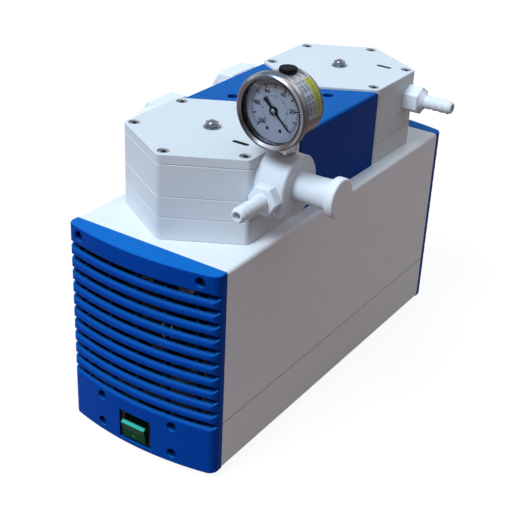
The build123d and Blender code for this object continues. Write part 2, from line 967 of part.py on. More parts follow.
def stator_windings():
    """Bars in the slots and a ring of end turns on each side."""
    end_turns = Pos(0, 0, stator_length / 2 + winding_gap) * turned(winding_outline)
    reach = stator_length / 2 + 1
    half = stator_slot_width / 2 - winding_gap
    low = stator_bore + 2
    bar = slab(low, stator_slot_depth - winding_gap, -half, half, -reach, reach)
    body = end_turns + Rot(180, 0, 0) * end_turns
    body += [Rot(0, 0, 360 * k / stator_slots) * bar for k in range(stator_slots)]
    return on_shaft(body)


def motor_end_bells():
    bell = Pos(0, 0, stator_length / 2) * turned((*bell_outer, *bell_inner))
    return [on_shaft(bell), on_shaft(Rot(180, 0, 0) * bell)]


def motor_shaft():
    reach = shaft_half_length
    return on_shaft(
        turned(
            (
                (0, -reach),
                (shaft_radius - 0.8, -reach),
                (shaft_radius, 0.8 - reach),
                (shaft_radius, reach - 0.8),
                (shaft_radius - 0.8, reach),
                (0, reach),
            )
        )
    )


def rotor_core():
    body = Cylinder(stator_bore - air_gap, stator_length)
    return on_shaft(body - Cylinder(shaft_radius + fit_gap, stator_length + 2))


def shaft_bearings():
    """Four ball bearings: one in each end bell, one in each crankcase cover."""
    half = bearing_width / 2
    ring = bearing(shaft_radius + running_gap, bearing_radius, half)
    in_bell = stator_length / 2 + bell_inner[-2][1] + half
    in_cover = cover_reach - bearing_lip - half
    return [on_shaft(Pos(0, 0, place) * ring) for place in (-in_cover, -in_bell, in_bell, in_cover)]


def cooling_fans():
    """Axial fan at each end of the shaft: hub with twisted flat blades."""
    middle = fan_reach - fan_width / 2
    hub = Cylinder(fan_hub_radius, fan_width)
    reach = fan_radius - fan_hub_radius + 2
    blade = Pos(fan_hub_radius - 2 + reach / 2, 0, 0) * Rot(fan_blade_twist, 0, 0)
    blade *= Box(reach, fan_width + 4, fan_blade_thickness)
    fan = hub + [Rot(0, 0, 360 * k / fan_blades) * blade for k in range(fan_blades)]
    fan &= Cylinder(fan_radius, fan_width)
    fan -= Cylinder(shaft_radius + fit_gap, fan_width + 2)
    return [on_shaft(Pos(0, 0, place) * fan) for place in (-middle, middle)]


def motor_cradle():
    """Plate on the pan's floor with saddles under the stator and both crankcases."""
    reach = cover_reach - crankcase_wall
    wide = cradle_half_width
    middle = head_middle_y
    body = slab(-wide, wide, middle - reach, middle + reach, sheet, sheet + cradle_plate)
    half = cradle_upright / 2
    under_stator = stator_length / 2 - cradle_upright
    for y in (-head_pitch / 2, -under_stator, under_stator, head_pitch / 2):
        body += slab(-wide, wide, middle + y - half, middle + y + half, sheet, cradle_top)
    body -= rod_y(stator_radius + 0.1, middle - stator_length, middle + stator_length, 0, shaft_z)
    for end in ENDS:
        body -= rod_y(crankcase_radius + 0.1, head_y[end] - 20, head_y[end] + 20, 0, shaft_z)
    return body


def motor_capacitor():
    low = head_middle_y - capacitor_length / 2
    body = rod_y(capacitor_radius, low, low + capacitor_length, capacitor_x, sheet + capacitor_radius)
    body = chamfer(body.edges(), 1.5)
    terminal = low + capacitor_length
    for x in (-4, 4):
        body += rod_y(2, terminal - 1, terminal + 8, capacitor_x + x, sheet + capacitor_radius)
    return body


def regulator_body():
    """Round body with a square lower front, bored for gas, gauge, neck and hose fitting."""
    x0, x1 = head_flat, regulator_end
    body = rod_x(regulator_radius, x0, x1, regulator_y, port_z)
    body += slab(x0, x1, regulator_y - regulator_radius, regulator_y, port_z - regulator_front_drop, port_z)
    outer = body.faces().sort_by(Axis.X)[-1].edges()
    body = chamfer(outer, regulator_edge)
    cavity_end = x1 - neck_spigot_length
    body -= rod_x(port_bore, x0 - 1, x0 + 5, regulator_y, port_z)
    body -= rod_x(regulator_cavity_radius, x0 + 4, cavity_end + 0.5, regulator_y, port_z)
    body -= rod_x(neck_spigot_radius + fit_gap, cavity_end, x1 + 1, regulator_y, port_z)
    front = regulator_y - regulator_radius
    body -= rod_y(barb_bore, front, regulator_y, regulator_x, port_z - inlet_below_axis)
    body -= rod_y(spigot_radius + fit_gap, front - 1, front + spigot_length, regulator_x, port_z - inlet_below_axis)
    top = port_z + regulator_radius
    body -= rod_z(barb_bore, port_z, top + 1, regulator_x, regulator_y)
    body -= rod_z(spigot_radius + fit_gap, top - spigot_length, top + 2, regulator_x, regulator_y)
    return body


def regulator_neck():
    """Flared neck with a spigot into the body and a bore for the stem."""
    near, far = neck_bell
    body = turned(
        (
            (stem_radius + running_gap, -neck_spigot_length + 0.3),
            (neck_spigot_radius, -neck_spigot_length + 0.3),
            (neck_spigot_radius, 0),
            (near, 0),
            (near, neck_bell_length * 0.6),
            (far, neck_bell_length - 3),
            (far, neck_bell_length),
            (stem_radius + running_gap, neck_bell_length),
        )
    )
    return Pos(regulator_end, regulator_y, port_z) * Rot(0, 90, 0) * body


def regulator_knob():
    """Round knob with a blind bore over the stem."""
    web = knob_length - knob_web
    body = turned(
        (
            (stem_radius + running_gap, 0),
            (knob_radius - 1.2, 0),
            (knob_radius, 1.2),
            (knob_radius, knob_length - 1.6),
            (knob_radius - 0.5, knob_length - 0.5),
            (knob_radius - 1.6, knob_length),
            (0, knob_length),
            (0, web),
            (stem_radius + running_gap, web),
        )
    )
    return Pos(neck_end + knob_gap, regulator_y, port_z) * Rot(0, 90, 0) * body


def regulator_stem():
    """Stem with a conical tip that throttles the cavity."""
    body = turned(
        (
            (0, 0),
            (1.5, 0),
            (stem_radius, stem_tip),
            (stem_radius, stem_length),
            (0, stem_length),
        )
    )
    return Pos(head_flat + stem_start, regulator_y, port_z) * Rot(0, 90, 0) * body


def barb_corners(base, shank):
    """Outline of a hose barb from its shoulder to its nose, then back down its bore."""
    corners = [(barb_radius, base), (barb_radius, base + shank)]
    for ridge in range(barb_count):
        start = base + shank + ridge * barb_pitch
        corners += [
            (barb_relief, start + barb_pitch - barb_land),
            (barb_radius, start + barb_pitch - barb_land),
            (barb_radius, start + barb_pitch),
        ]
    tip = base + shank + barb_count * barb_pitch + barb_nose
    return corners + [(barb_nose_radius, tip), (barb_bore, tip)]


def inlet_barb():
    """Inlet hose barb: spigot in the body, hexagon on its face, barb to the front."""
    hexagon_part = hex_prism(barb_hex_flats, inlet_hex_length)
    hexagon_part = chamfer(hexagon_part.faces().sort_by(Axis.Z)[-1].edges(), 0.8)
    hexagon_part -= rod_z(barb_bore, -1, inlet_hex_length + 1)
    spigot = rod_z(spigot_radius, 0.3 - spigot_length, 0.5) - rod_z(barb_bore, -spigot_length, 1)
    barb = turned(((barb_bore, inlet_hex_length - 1), (barb_radius, inlet_hex_length - 1),
                   *barb_corners(inlet_hex_length, inlet_shank)))
    body = hexagon_part + spigot + barb
    front = regulator_y - regulator_radius
    return Pos(regulator_x, front, port_z - inlet_below_axis) * Rot(90, 0, 0) * body


def outlet_barb():
    """Outlet fitting: hexagon against the head's flat, conical shoulder, barb to the right."""
    shoulder = outlet_nut_length + outlet_shoulder
    nut = hex_prism(barb_hex_flats, outlet_nut_length)
    nut = chamfer(nut.faces().sort_by(Axis.Z)[-1].edges(), 0.8)
    nut -= rod_z(barb_bore, -1, outlet_nut_length + 1)
    barb = turned(
        (
            (barb_bore, outlet_nut_length - 1),
            (barb_hex_flats / 2 - 1, outlet_nut_length - 1),
            (barb_hex_flats / 2 - 1, outlet_nut_length),
            *barb_corners(shoulder, outlet_shank),
        )
    )
    y = head_y["rear"] + port_offset
    return Pos(head_flat, y, port_z) * Rot(0, 90, 0) * (nut + barb)


def on_gauge(shape):
    """Turn a piece made about Z to face the front at the gauge's height."""
    return Pos(regulator_x, regulator_y, gauge_z) * Rot(90, 0, 0) * shape


def gauge_case():
    """Case cup with a round stem, a hexagon and a threaded spigot below."""
    outer = gauge_radius
    inner = gauge_radius - gauge_wall
    cup = turned(
        (
            (0, gauge_back),
            (outer - gauge_round, gauge_back),
            (outer, gauge_back + gauge_round),
            (outer, gauge_rim),
            (inner, gauge_rim),
            (inner, gauge_back + gauge_round),
            (inner - gauge_round + 0.5, gauge_back + gauge_wall),
            (0, gauge_back + gauge_wall),
        )
    )
    body = on_gauge(cup)
    plug_y = regulator_y - plug_front
    body -= rod_z(plug_radius - 2, gauge_z + 15, gauge_z + outer + 1, regulator_x, plug_y)
    top = port_z + regulator_radius
    hex_low = top + gauge_hex_stand
    stem = Pos(0, 0, hex_low) * hex_prism(gauge_hex_flats, gauge_hex_height)
    stem += rod_z(gauge_stem_radius, hex_low + 1, gauge_z - outer + 3)
    stem += rod_z(spigot_radius, top - spigot_length + 0.3, hex_low + 1)
    stem = Pos(regulator_x, regulator_y, 0) * stem
    stem -= on_gauge(Cylinder(outer - 0.3, 4 * bezel_front))
    return body + stem


def gauge_bezel():
    """Rolled ring that holds the glass against the case's rim."""
    return on_gauge(
        turned(
            (
                (gauge_radius + fit_gap, bezel_back),
                (bezel_radius - 0.8, bezel_back),
                (bezel_radius, bezel_back + 1),
                (bezel_radius, bezel_front - 2.6),
                (bezel_radius - 0.8, bezel_front - 0.8),
                (bezel_radius - 2.0, bezel_front),
                (bezel_radius - 2.8, bezel_front - 0.3),
                (bezel_opening, bezel_front - 1.3),
                (bezel_opening, bezel_front - bezel_lip),
                (gauge_radius + fit_gap, bezel_front - bezel_lip),
            )
        )
    )


def gauge_glass():
    return on_gauge(rod_z(gauge_radius - 0.1, gauge_rim, gauge_rim + glass_thickness))


def gauge_dial():
    disc = rod_z(dial_radius, dial_front - dial_thickness, dial_front)
    return on_gauge(disc - rod_z(arbor_radius + 0.6, 0, dial_front + 1))


def gauge_needle():
    """Pointer, tail and hub on the arbor that goes down into the movement."""
    half = needle_half_width
    blade = Polyline(
        (-needle_tail, -2 * half), (-needle_tail, 2 * half), (0, half), (needle_length, 0.25),
        (needle_length, -0.25), (0, -half), close=True,
    )
    body = Pos(0, 0, needle_back) * extrude(make_face(blade), needle_front - needle_back)
    body += rod_z(needle_hub_radius, needle_back - 0.2, needle_hub_front)
    body += rod_z(arbor_radius, movement_front - 5, needle_back)
    return on_gauge(Rot(0, 0, needle_rest_angle) * body)


def gauge_movement():
    """Movement on the case's back: a post, two plates and the arbor's bearing."""
    floor = gauge_back + gauge_wall
    body = turned(
        (
            (0, floor),
            (5, floor),
            (5, movement_back),
            (movement_radius, movement_back),
            (movement_radius, movement_back + 2),
            (5, movement_back + 2),
            (5, movement_front - 2),
            (movement_radius, movement_front - 2),
            (movement_radius, movement_front),
            (arbor_radius + running_gap, movement_front),
            (arbor_radius + running_gap, movement_front - 6),
            (0, movement_front - 6),
        )
    )
    return on_gauge(body)


def gauge_plug():
    """Filling plug on top of the case, its flange shaped to the case."""
    plug_y = regulator_y - plug_front
    top = gauge_z + gauge_radius
    flange = rod_z(plug_radius, top - 2, top + plug_stand, regulator_x, plug_y)
    flange = chamfer(flange.faces().sort_by(Axis.Z)[-1].edges(), 0.5)
    flange -= on_gauge(Cylinder(gauge_radius, 4 * bezel_front))
    stem = rod_z(plug_radius - 2.1, top - 4, top + 1, regulator_x, plug_y)
    return flange + stem


def link_fitting():
    """Elbow and its long nut: Z runs away from the head, the nut points along Y."""
    body = rod_z(elbow_radius, 0, link_reach)
    body += Pos(0, 0, link_reach) * Sphere(elbow_radius)
    nut = Rot(0, 0, 30) * hex_prism(link_nut_flats, link_nut_length)
    nut = chamfer(nut.faces().sort_by(Axis.Z)[-1].edges(), 1.5)
    body += Pos(0, link_nut_start, link_reach) * Rot(-90, 0, 0) * nut
    end = link_nut_start + link_nut_length
    body -= rod_z(link_tube_bore, -1, link_reach)
    body -= rod_y(link_tube_bore, 0, end, 0, link_reach)
    body -= rod_y(link_tube_radius + fit_gap, end - link_insert, end + 1, 0, link_reach)
    return body


def link_fittings():
    """One elbow on each head; the rear one is the front one turned over."""
    front = Rot(0, -90, 0) * link_fitting()
    rear = Rot(180, 0, 0) * front
    return [
        Pos(-head_flat, head_y["front"] + port_offset, port_z) * front,
        Pos(-head_flat, head_y["rear"] - port_offset, port_z) * rear,
    ]


def link_tube():
    insert = link_nut_start + link_nut_length - link_insert + 0.3
    low = head_y["front"] + port_offset + insert
    high = head_y["rear"] - port_offset - insert
    tube = rod_y(link_tube_radius, low, high, link_x, port_z)
    return tube - rod_y(link_tube_bore, low - 1, high + 1, link_x, port_z)


def saddle_plan(inset):
    """The saddle seen from above: a rectangle notched at each end for its head."""
    reach = head_pitch / 2
    plan = Pos(0, head_middle_y) * Rectangle(2 * (head_flat - inset), 2 * reach)
    for end in ENDS:
        plan -= Pos(0, head_y[end]) * hexagon(saddle_gap + inset, head_corner + saddle_gap + inset)
    pieces = plan.faces().sort_by(SortBy.AREA)
    return pieces[-1]


def saddle_cover():
    """Shell between the heads with four deep screw pillars."""
    low, top = housing_height, housing_height + saddle_height
    body = Pos(0, 0, low) * extrude(saddle_plan(0), saddle_height)
    rim = body.faces().sort_by(Axis.Z)[-1].edges()
    long_edges = [edge for edge in rim if abs(edge.center().X) > head_flat - 0.1]
    body = fillet(long_edges, saddle_edge)
    room = Pos(0, 0, low - 1) * extrude(saddle_plan(saddle_wall), saddle_height + 1 - saddle_wall)
    body -= room
    for x, y in saddle_places():
        body += rod_z(saddle_pillar_radius, low, top - 1, x, y)
        body -= rod_z(saddle_recess_radius, low + saddle_floor(), top + 1, x, y)
        body -= rod_z(screw_hole, low - 1, top, x, y)
    return body


save("base_pan", base_pan())
save("upper_cover", upper_cover())
moulding = cap()
save("front_cap", at_front(moulding))
save("rear_cap", at_rear(moulding))
save("case_screws", *case_screws())
save("saddle_cover", saddle_cover())
foot = rubber_foot()
save("rubber_feet", *[Pos(x, y, 0) * foot for x, y in foot_places()])
save("switch_body", at_front(switch_body()))
save("switch_rocker", at_front(switch_rocker()))
save("mains_inlet", at_rear(mains_inlet()), *[at_rear(blade) for blade in mains_blades()])
for end in ENDS:
    save(f"head_base_{end}", head_base(end))
    save(f"chamber_plate_{end}", chamber_plate(end))
    save(f"port_block_{end}", port_block(end))
    save(f"head_lid_{end}", head_lid(end))
    save(f"diaphragm_{end}", diaphragm(end))
    save(f"clamp_disc_{end}", clamp_disc(end))
    save(f"intake_valve_{end}", valve_disc(intake_place[end], plate_top - body_gap - valve_thickness))
    save(f"exhaust_valve_{end}", valve_disc(exhaust_place[end], plate_top + body_gap))
    save(f"connecting_rod_{end}", connecting_rod(end))
    save(f"crank_bearing_{end}", crank_bearing(end))
    save(f"eccentric_{end}", eccentric(end))
    save(f"crankcase_{end}", *crankcase(end))
save("head_screws", *[screw for end in ENDS for screw in head_screw(end)])
save("dome_nuts", *[dome_nut(end) for end in ENDS])
save("motor_stator", stator())
save("stator_windings", stator_windings())
save("motor_end_bells", *motor_end_bells())
save("motor_shaft", motor_shaft())
save("rotor_core", rotor_core())
save("shaft_bearings", *shaft_bearings())
save("cooling_fans", *cooling_fans())
save("motor_cradle", motor_cradle())
save("motor_capacitor", motor_capacitor())
save("regulator_body", regulator_body())
save("regulator_neck", regulator_neck())
save("regulator_knob", regulator_knob())
save("regulator_stem", regulator_stem())
save("inlet_barb", inlet_barb())
save("outlet_barb", outlet_barb())
save("gauge_case", gauge_case())
save("gauge_bezel", gauge_bezel())
save("gauge_glass", gauge_glass())
save("gauge_dial", gauge_dial())
save("gauge_needle", gauge_needle())
save("gauge_movement", gauge_movement())
save("gauge_plug", gauge_plug())
save("link_fittings", *link_fittings())
save("link_tube", link_tube())
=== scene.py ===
"""Looks of a two-head diaphragm vacuum pump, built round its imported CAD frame. Lengths are metres."""
import json
import math

import bmesh
import bpy
from mathutils import Matrix, Vector

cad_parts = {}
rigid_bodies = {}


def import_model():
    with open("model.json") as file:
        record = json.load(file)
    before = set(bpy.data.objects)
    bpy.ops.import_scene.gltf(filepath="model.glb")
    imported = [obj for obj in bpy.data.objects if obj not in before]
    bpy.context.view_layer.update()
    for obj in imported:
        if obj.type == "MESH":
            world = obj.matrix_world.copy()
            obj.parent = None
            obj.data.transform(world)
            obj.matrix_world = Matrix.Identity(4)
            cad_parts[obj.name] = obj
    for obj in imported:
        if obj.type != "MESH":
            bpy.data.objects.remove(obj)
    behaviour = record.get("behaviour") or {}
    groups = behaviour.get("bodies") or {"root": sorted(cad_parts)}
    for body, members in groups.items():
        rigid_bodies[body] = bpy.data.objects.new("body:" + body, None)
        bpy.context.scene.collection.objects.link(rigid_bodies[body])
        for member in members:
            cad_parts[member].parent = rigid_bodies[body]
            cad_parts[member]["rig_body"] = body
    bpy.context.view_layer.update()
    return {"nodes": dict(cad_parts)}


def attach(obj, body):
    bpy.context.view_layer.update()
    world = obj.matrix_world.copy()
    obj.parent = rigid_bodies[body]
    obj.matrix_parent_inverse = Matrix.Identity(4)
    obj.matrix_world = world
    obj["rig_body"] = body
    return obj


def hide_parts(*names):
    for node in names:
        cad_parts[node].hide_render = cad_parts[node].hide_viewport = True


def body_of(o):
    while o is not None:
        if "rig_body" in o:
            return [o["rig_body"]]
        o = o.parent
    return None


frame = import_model()
nodes = frame["nodes"]
MM = 0.001


def in_mm(*values):
    """Millimetres turned into metres."""
    return tuple(value * MM for value in values)


# Places of the CAD model that new pieces and patterns are counted from
seam_z = 44.05 * MM
motor_axis_z = 90 * MM
housing_inside = (in_mm(-70.5, -172, 0.5), in_mm(70.5, 172, 177))
saddle_foot = 179.5 * MM

# End caps: the bowed face, and boxes round the louvres and the hollows of the corner at positive X and Y
cap_face = 191.25 * MM
bow_radius = 280.4 * MM
louvre_box = (in_mm(0, 172, 40.5), in_mm(69.5, 195, 165))
window_box = (in_mm(0, 185, 3.8), in_mm(16.1, 190.2, 31))
low_recess_box = (in_mm(31, 176, 4.5), in_mm(40, 187.2, 13.5))
middle_recess_box = (in_mm(31, 176, 30.5), in_mm(40, 187.2, 39.5))
top_recess_box = (in_mm(53.4, 176, 166.7), in_mm(62.6, 183, 175.9))
cap_hollows = (window_box, low_recess_box, middle_recess_box, top_recess_box)

# Screws: seats under their heads
cap_screw_seat = 177.25 * MM
cap_screw_places = (in_mm(58, 171.3), in_mm(35.5, 9), in_mm(35.5, 35))
foot_screw_place = in_mm(50, 126.25, -3)
saddle_screw_x = 30 * MM
saddle_screw_y = in_mm(-24.15, 30.15)
saddle_screw_seat = 183.5 * MM
head_middle_y = in_mm(-94.15, 100.15)
head_screw_circle = 60.2 * MM
head_screw_seat = 242.5 * MM

# Slots in the lids: middle, and half the distance between the centres of the round ends
lid_top = 248.03 * MM
lid_slots = (in_mm(35.4, -106.55), in_mm(33.0, 123.95))
lid_slot_half = 5.3 * MM

# Gauge
gauge_x = 72.5 * MM
gauge_z = 287.3 * MM
gauge_case_radius = 25.5 * MM
dial_front = -120.35 * MM
dial_radius = 24.0 * MM
hub_front = -123.05 * MM
liquid_rise = 15.6 * MM
zero_turn = math.radians(-45)
full_turn = math.radians(270)
number_circle = 14.6 * MM
number_height = 4.6 * MM
dial_screw_reach = 5.4 * MM
dial_screw_drop = 14.6 * MM
label_turns = (math.radians(-8), math.radians(58))
label_steps = 40

# Rocker of the switch: two faces that rise from a waist to their ends
rocker_pivot = (0.0, -180.85 * MM, 17.4 * MM)
rocker_tilt = math.radians(10)
rocker_waist = 11.8 * MM
rocker_rise = 0.8 * MM
rocker_half_height = 7.2 * MM
mark_lift = 4.1 * MM
mark_height = 3.6 * MM
# Height over the pivot where the painted shadow on the rocker's top begins, and reach ahead of it where the
# painted highlight of the front edge begins
rocker_shadow_top = in_mm(3.8, 5.0)
rocker_highlight_edge = in_mm(10.2, 11.6)

# Printing: half its thickness, and how much the strokes swell for each unit of letter height
print_thickness = 0.02 * MM
stroke_swell = 0.038

# Paper floor, just below the feet
floor_level = -6.05 * MM
floor_reach = 4.0

crease_angle = math.radians(35)


class Wire:
    """An output socket of a node tree. Sums and products on it add Math nodes."""

    def __init__(self, net, socket):
        self.net = net
        self.socket = socket

    def math(self, operation, *values, **settings):
        settings["operation"] = operation
        return self.net.node("ShaderNodeMath", settings, dict(enumerate(values)))

    def __add__(self, other):
        return self.math("ADD", self, other)

    __radd__ = __add__

    def __sub__(self, other):
        return self.math("SUBTRACT", self, other)

    def __rsub__(self, other):
        return self.math("SUBTRACT", other, self)

    def __mul__(self, other):
        return self.math("MULTIPLY", self, other)

    __rmul__ = __mul__

    def __truediv__(self, other):
        return self.math("DIVIDE", self, other)

    def held(self):
        """The same value, kept between 0 and 1."""
        return self.math("ADD", self, 0.0, use_clamp=True)

    def above(self, low, high):
        """0 below low, 1 above high, and a smooth step between them."""
        return self.net.node(
            "ShaderNodeMapRange",
            {"interpolation_type": "SMOOTHSTEP"},
            {"Value": self, "From Min": low, "From Max": high},
        )


class Net:
    """A node tree that grows through one method."""

    def __init__(self, tree):
        self.tree = tree

    def node(self, kind, settings=None, inputs=None, output=0):
        made = self.tree.nodes.new(kind)
        for name, value in (settings or {}).items():
            if name == "stops":
                set_stops(made.color_ramp, value)
            else:
                setattr(made, name, value)
        for name, value in (inputs or {}).items():
            if isinstance(value, Wire):
                self.tree.links.new(value.socket, made.inputs[name])
            else:
                made.inputs[name].default_value = value
        return Wire(self, made.outputs[output]) if made.outputs else made


def set_stops(ramp, stops):
    """Colours of a ramp, from (place, colour) pairs that start at place 0."""
    ramp.elements.remove(ramp.elements[1])
    ramp.elements[0].color = stops[0][1]
    for place, colour in stops[1:]:
        ramp.elements.new(place).color = colour


def tone(red, green, blue):
    """A colour as a screen shows it, 0 to 255, turned into the shader's linear numbers."""

    def linear(value):
        value /= 255
        return value / 12.92 if value <= 0.04045 else ((value + 0.055) / 1.055) ** 2.4

    return (linear(red), linear(green), linear(blue), 1.0)


class Finish(Net):
    """One material: a Principled shader whose constants are set on it, and the patterns that feed it."""

    def __init__(self, name, **constants):
        self.material = bpy.data.materials.new(name)
        self.material.use_nodes = True
        super().__init__(self.material.node_tree)
        self.tree.nodes.clear()
        self.shader = self.tree.nodes.new("ShaderNodeBsdfPrincipled")
        self.surface = self.tree.nodes.new("ShaderNodeOutputMaterial")
        self.tree.links.new(self.shader.outputs[0], self.surface.inputs[0])
        for words, value in constants.items():
            self.shader.inputs[words.replace("_", " ").title().replace("Ior", "IOR")].default_value = value
        self.place = self.node("ShaderNodeTexCoord", None, None, 3)

    def feed(self, name, wire):
        self.tree.links.new(wire.socket, self.shader.inputs[name])

    def spot(self, centre=(0, 0, 0), stretch=(1, 1, 1)):
        """Object coordinates counted from centre and scaled along each axis."""
        moved = self.node("ShaderNodeVectorMath", {"operation": "SUBTRACT"}, {0: self.place, 1: centre})
        return self.node("ShaderNodeVectorMath", {"operation": "MULTIPLY"}, {0: moved, 1: stretch})

    def facing(self):
        """Direction that the surface faces, in the object's own axes."""
        return self.node("ShaderNodeTexCoord", None, None, 1)

    def along(self, axis, where=None):
        return self.node("ShaderNodeSeparateXYZ", None, {0: where or self.place}, "XYZ".index(axis))

    def noise(self, scale, detail=2.0, rough=0.5, where=None):
        inputs = {"Vector": where or self.place, "Scale": scale, "Detail": detail, "Roughness": rough}
        return self.node("ShaderNodeTexNoise", None, inputs)

    def rings(self, value, scale, detail=3.0):
        """Noise that changes with one value only, for turned, rolled or drawn marks."""
        inputs = {"W": value, "Scale": scale, "Detail": detail}
        return self.node("ShaderNodeTexNoise", {"noise_dimensions": "1D"}, inputs)

    def specks(self, scale, where=None):
        """Distance to the nearest of many scattered points."""
        return self.node("ShaderNodeTexVoronoi", None, {"Vector": where or self.place, "Scale": scale})

    def within(self, low, high, mirrored=False):
        """1 inside an upright box and 0 outside it. Mirrored adds its images across the X and Y planes."""
        share = 1.0
        for axis, start, end in zip("XYZ", low, high):
            here = self.along(axis)
            if mirrored and axis != "Z":
                here = here.math("ABSOLUTE", here)
            share = here.math("GREATER_THAN", here, start) * here.math("LESS_THAN", here, end) * share
        return share

    def mixed(self, share, first, second):
        inputs = {0: share, 6: first, 7: second}
        return self.node("ShaderNodeMix", {"data_type": "RGBA"}, inputs, 2)

    def relief(self, height, depth, strength=1.0):
        """Height drives the surface's bumps. depth is in metres."""
        inputs = {"Height": height, "Distance": depth, "Strength": strength}
        self.feed("Normal", self.node("ShaderNodeBump", None, inputs))


def shaded(colour, factor):
    return (colour[0] * factor, colour[1] * factor, colour[2] * factor, 1.0)


def powder_coat(name, colour):
    """Baked powder paint on sheet steel: orange peel, fine pits and handling marks, with painted shade
    inside the housing and in the seam's gap.
    """
    paint = Finish(name, specular_ior_level=0.2)
    broad = paint.noise(7.0, 3.0)
    peel = paint.noise(420.0, 2.0)
    pits = paint.specks(2600.0).above(0.05, 0.35)
    wiped = paint.noise(30.0, 4.0, 0.6, paint.spot(stretch=(1.0, 0.35, 2.4))).above(0.5, 0.72)
    body = paint.mixed(broad, shaded(colour, 0.965), colour)
    worn = paint.mixed(wiped * 0.25, body, shaded(colour, 0.93))
    # Painted shade: the inside of the housing, seen through the louvres, is given a dark grey.
    inside = paint.within(*housing_inside)
    # Painted shade in the thin gap of the seam between the pan and the upper cover.
    seam_gap = paint.along("Z", paint.spot((0, 0, seam_z)))
    seam_shade = 1.0 - seam_gap.math("ABSOLUTE", seam_gap).above(0.25 * MM, 0.6 * MM)
    lined = paint.mixed(seam_shade * 0.75, worn, shaded(colour, 0.12))
    paint.feed("Base Color", paint.mixed(inside, lined, tone(66, 68, 72)))
    paint.feed("Roughness", 0.40 + peel * 0.10 + wiped * 0.06)
    paint.relief(peel * 0.8 + pits * 0.2, 0.09 * MM, 0.5)
    return paint


def moulded_blue(name, colour, lit_from_above):
    """Satin moulded plastic with a fine eroded grain, with painted light on the faces that look up, and
    painted shade in its louvre grooves and hollows.
    """
    plastic = Finish(name, specular_ior_level=0.03)
    broad = plastic.noise(11.0, 3.0)
    grain = plastic.noise(1500.0, 2.0, 0.6)
    flow = plastic.noise(60.0, 3.0, 0.5, plastic.spot(stretch=(0.6, 0.6, 1.8)))
    body = plastic.mixed(broad, shaded(colour, 0.92), colour)
    streaked = plastic.mixed(flow.above(0.5, 0.75) * 0.3, body, shaded(colour, 1.12))
    # Painted light from above: faces that look up take the second, lighter colour.
    skyward = plastic.along("Z", plastic.facing()) + (flow - 0.5) * 0.1
    open_face = plastic.mixed(skyward.above(0.4, 1.0), streaked, lit_from_above)
    # Painted shade in the caps' hollows: the switch window and the screw pockets.
    hollow = sum(plastic.within(low, high, mirrored=True) for low, high in cap_hollows)
    # Painted shade in the louvre grooves, growing with the depth behind the bowed face.
    groove = behind_bow(plastic).above(0.4 * MM, 3.6 * MM) * plastic.within(*louvre_box, mirrored=True)
    saddle = plastic.along("Z").above(saddle_foot - 0.5 * MM, saddle_foot)
    black = (0.0, 0.0, 0.0, 1.0)
    groove_shaded = plastic.mixed(groove * 0.9, open_face, shaded(colour, 0.15))
    shell = plastic.mixed(saddle * 0.24, groove_shaded, black)
    plastic.feed("Base Color", plastic.mixed(hollow * 0.8, shell, shaded(colour, 0.2)))
    plastic.feed("Roughness", 0.44 + grain * 0.12 + broad * 0.05)
    plastic.relief(grain, 0.05 * MM, 0.5)
    return plastic


def behind_bow(plastic):
    """How far a point lies behind the bowed face of its end cap."""
    across = plastic.along("X")
    depth = plastic.along("Y")
    ahead = depth.math("ABSOLUTE", depth) + (bow_radius - cap_face)
    reach = across * across + ahead * ahead
    return bow_radius - reach.math("SQRT", reach)


def machined_white(name, colour, depth=0.05):
    """White fluoroplastic cut on a mill: silky, with faint cutter arcs and a slightly waxy tone."""
    plastic = Finish(name, subsurface_weight=depth, subsurface_scale=0.006, specular_ior_level=0.2)
    plastic.shader.inputs["Subsurface Radius"].default_value = (1.0, 1.0, 1.0)
    broad = plastic.noise(14.0, 3.0)
    cut = plastic.rings(plastic.along("Y"), 900.0, 2.0)
    grain = plastic.noise(1100.0, 2.0)
    plastic.feed("Base Color", plastic.mixed(broad, shaded(colour, 0.965), colour))
    plastic.feed("Roughness", 0.46 + cut * 0.08 + grain * 0.05)
    plastic.relief(cut * 0.6 + grain * 0.4, 0.03 * MM, 0.35)
    return plastic


def moulded_smooth(name, colour, rough, level=0.45):
    """Plain injection-moulded plastic: nearly smooth, with flow marks and a fine grain."""
    plastic = Finish(name, specular_ior_level=level)
    broad = plastic.noise(24.0, 3.0)
    grain = plastic.noise(1400.0, 2.0)
    flow = plastic.noise(90.0, 3.0, 0.55, plastic.spot(stretch=(0.4, 1.0, 1.6)))
    body = plastic.mixed(broad, shaded(colour, 0.94), colour)
    plastic.feed("Base Color", plastic.mixed(flow.above(0.55, 0.8) * 0.3, body, shaded(colour, 1.05)))
    plastic.feed("Roughness", rough + grain * 0.08 + broad * 0.05)
    plastic.relief(grain * 0.7 + flow * 0.3, 0.04 * MM, 0.35)
    return plastic


def turned_metal(name, colour, rough, axis="Y", scale=1600.0):
    """Bright metal off a lathe or a wire brush: fine marks at right angles to one axis."""
    metal = Finish(name, metallic=1.0)
    marks = metal.rings(metal.along(axis), scale, 4.0)
    smudge = metal.noise(45.0, 4.0, 0.6)
    metal.feed("Base Color", metal.mixed(smudge, shaded(colour, 0.86), colour))
    metal.feed("Roughness", rough + marks * 0.10 + smudge.above(0.5, 0.8) * 0.10)
    metal.relief(marks, 0.02 * MM, 0.4)
    return metal


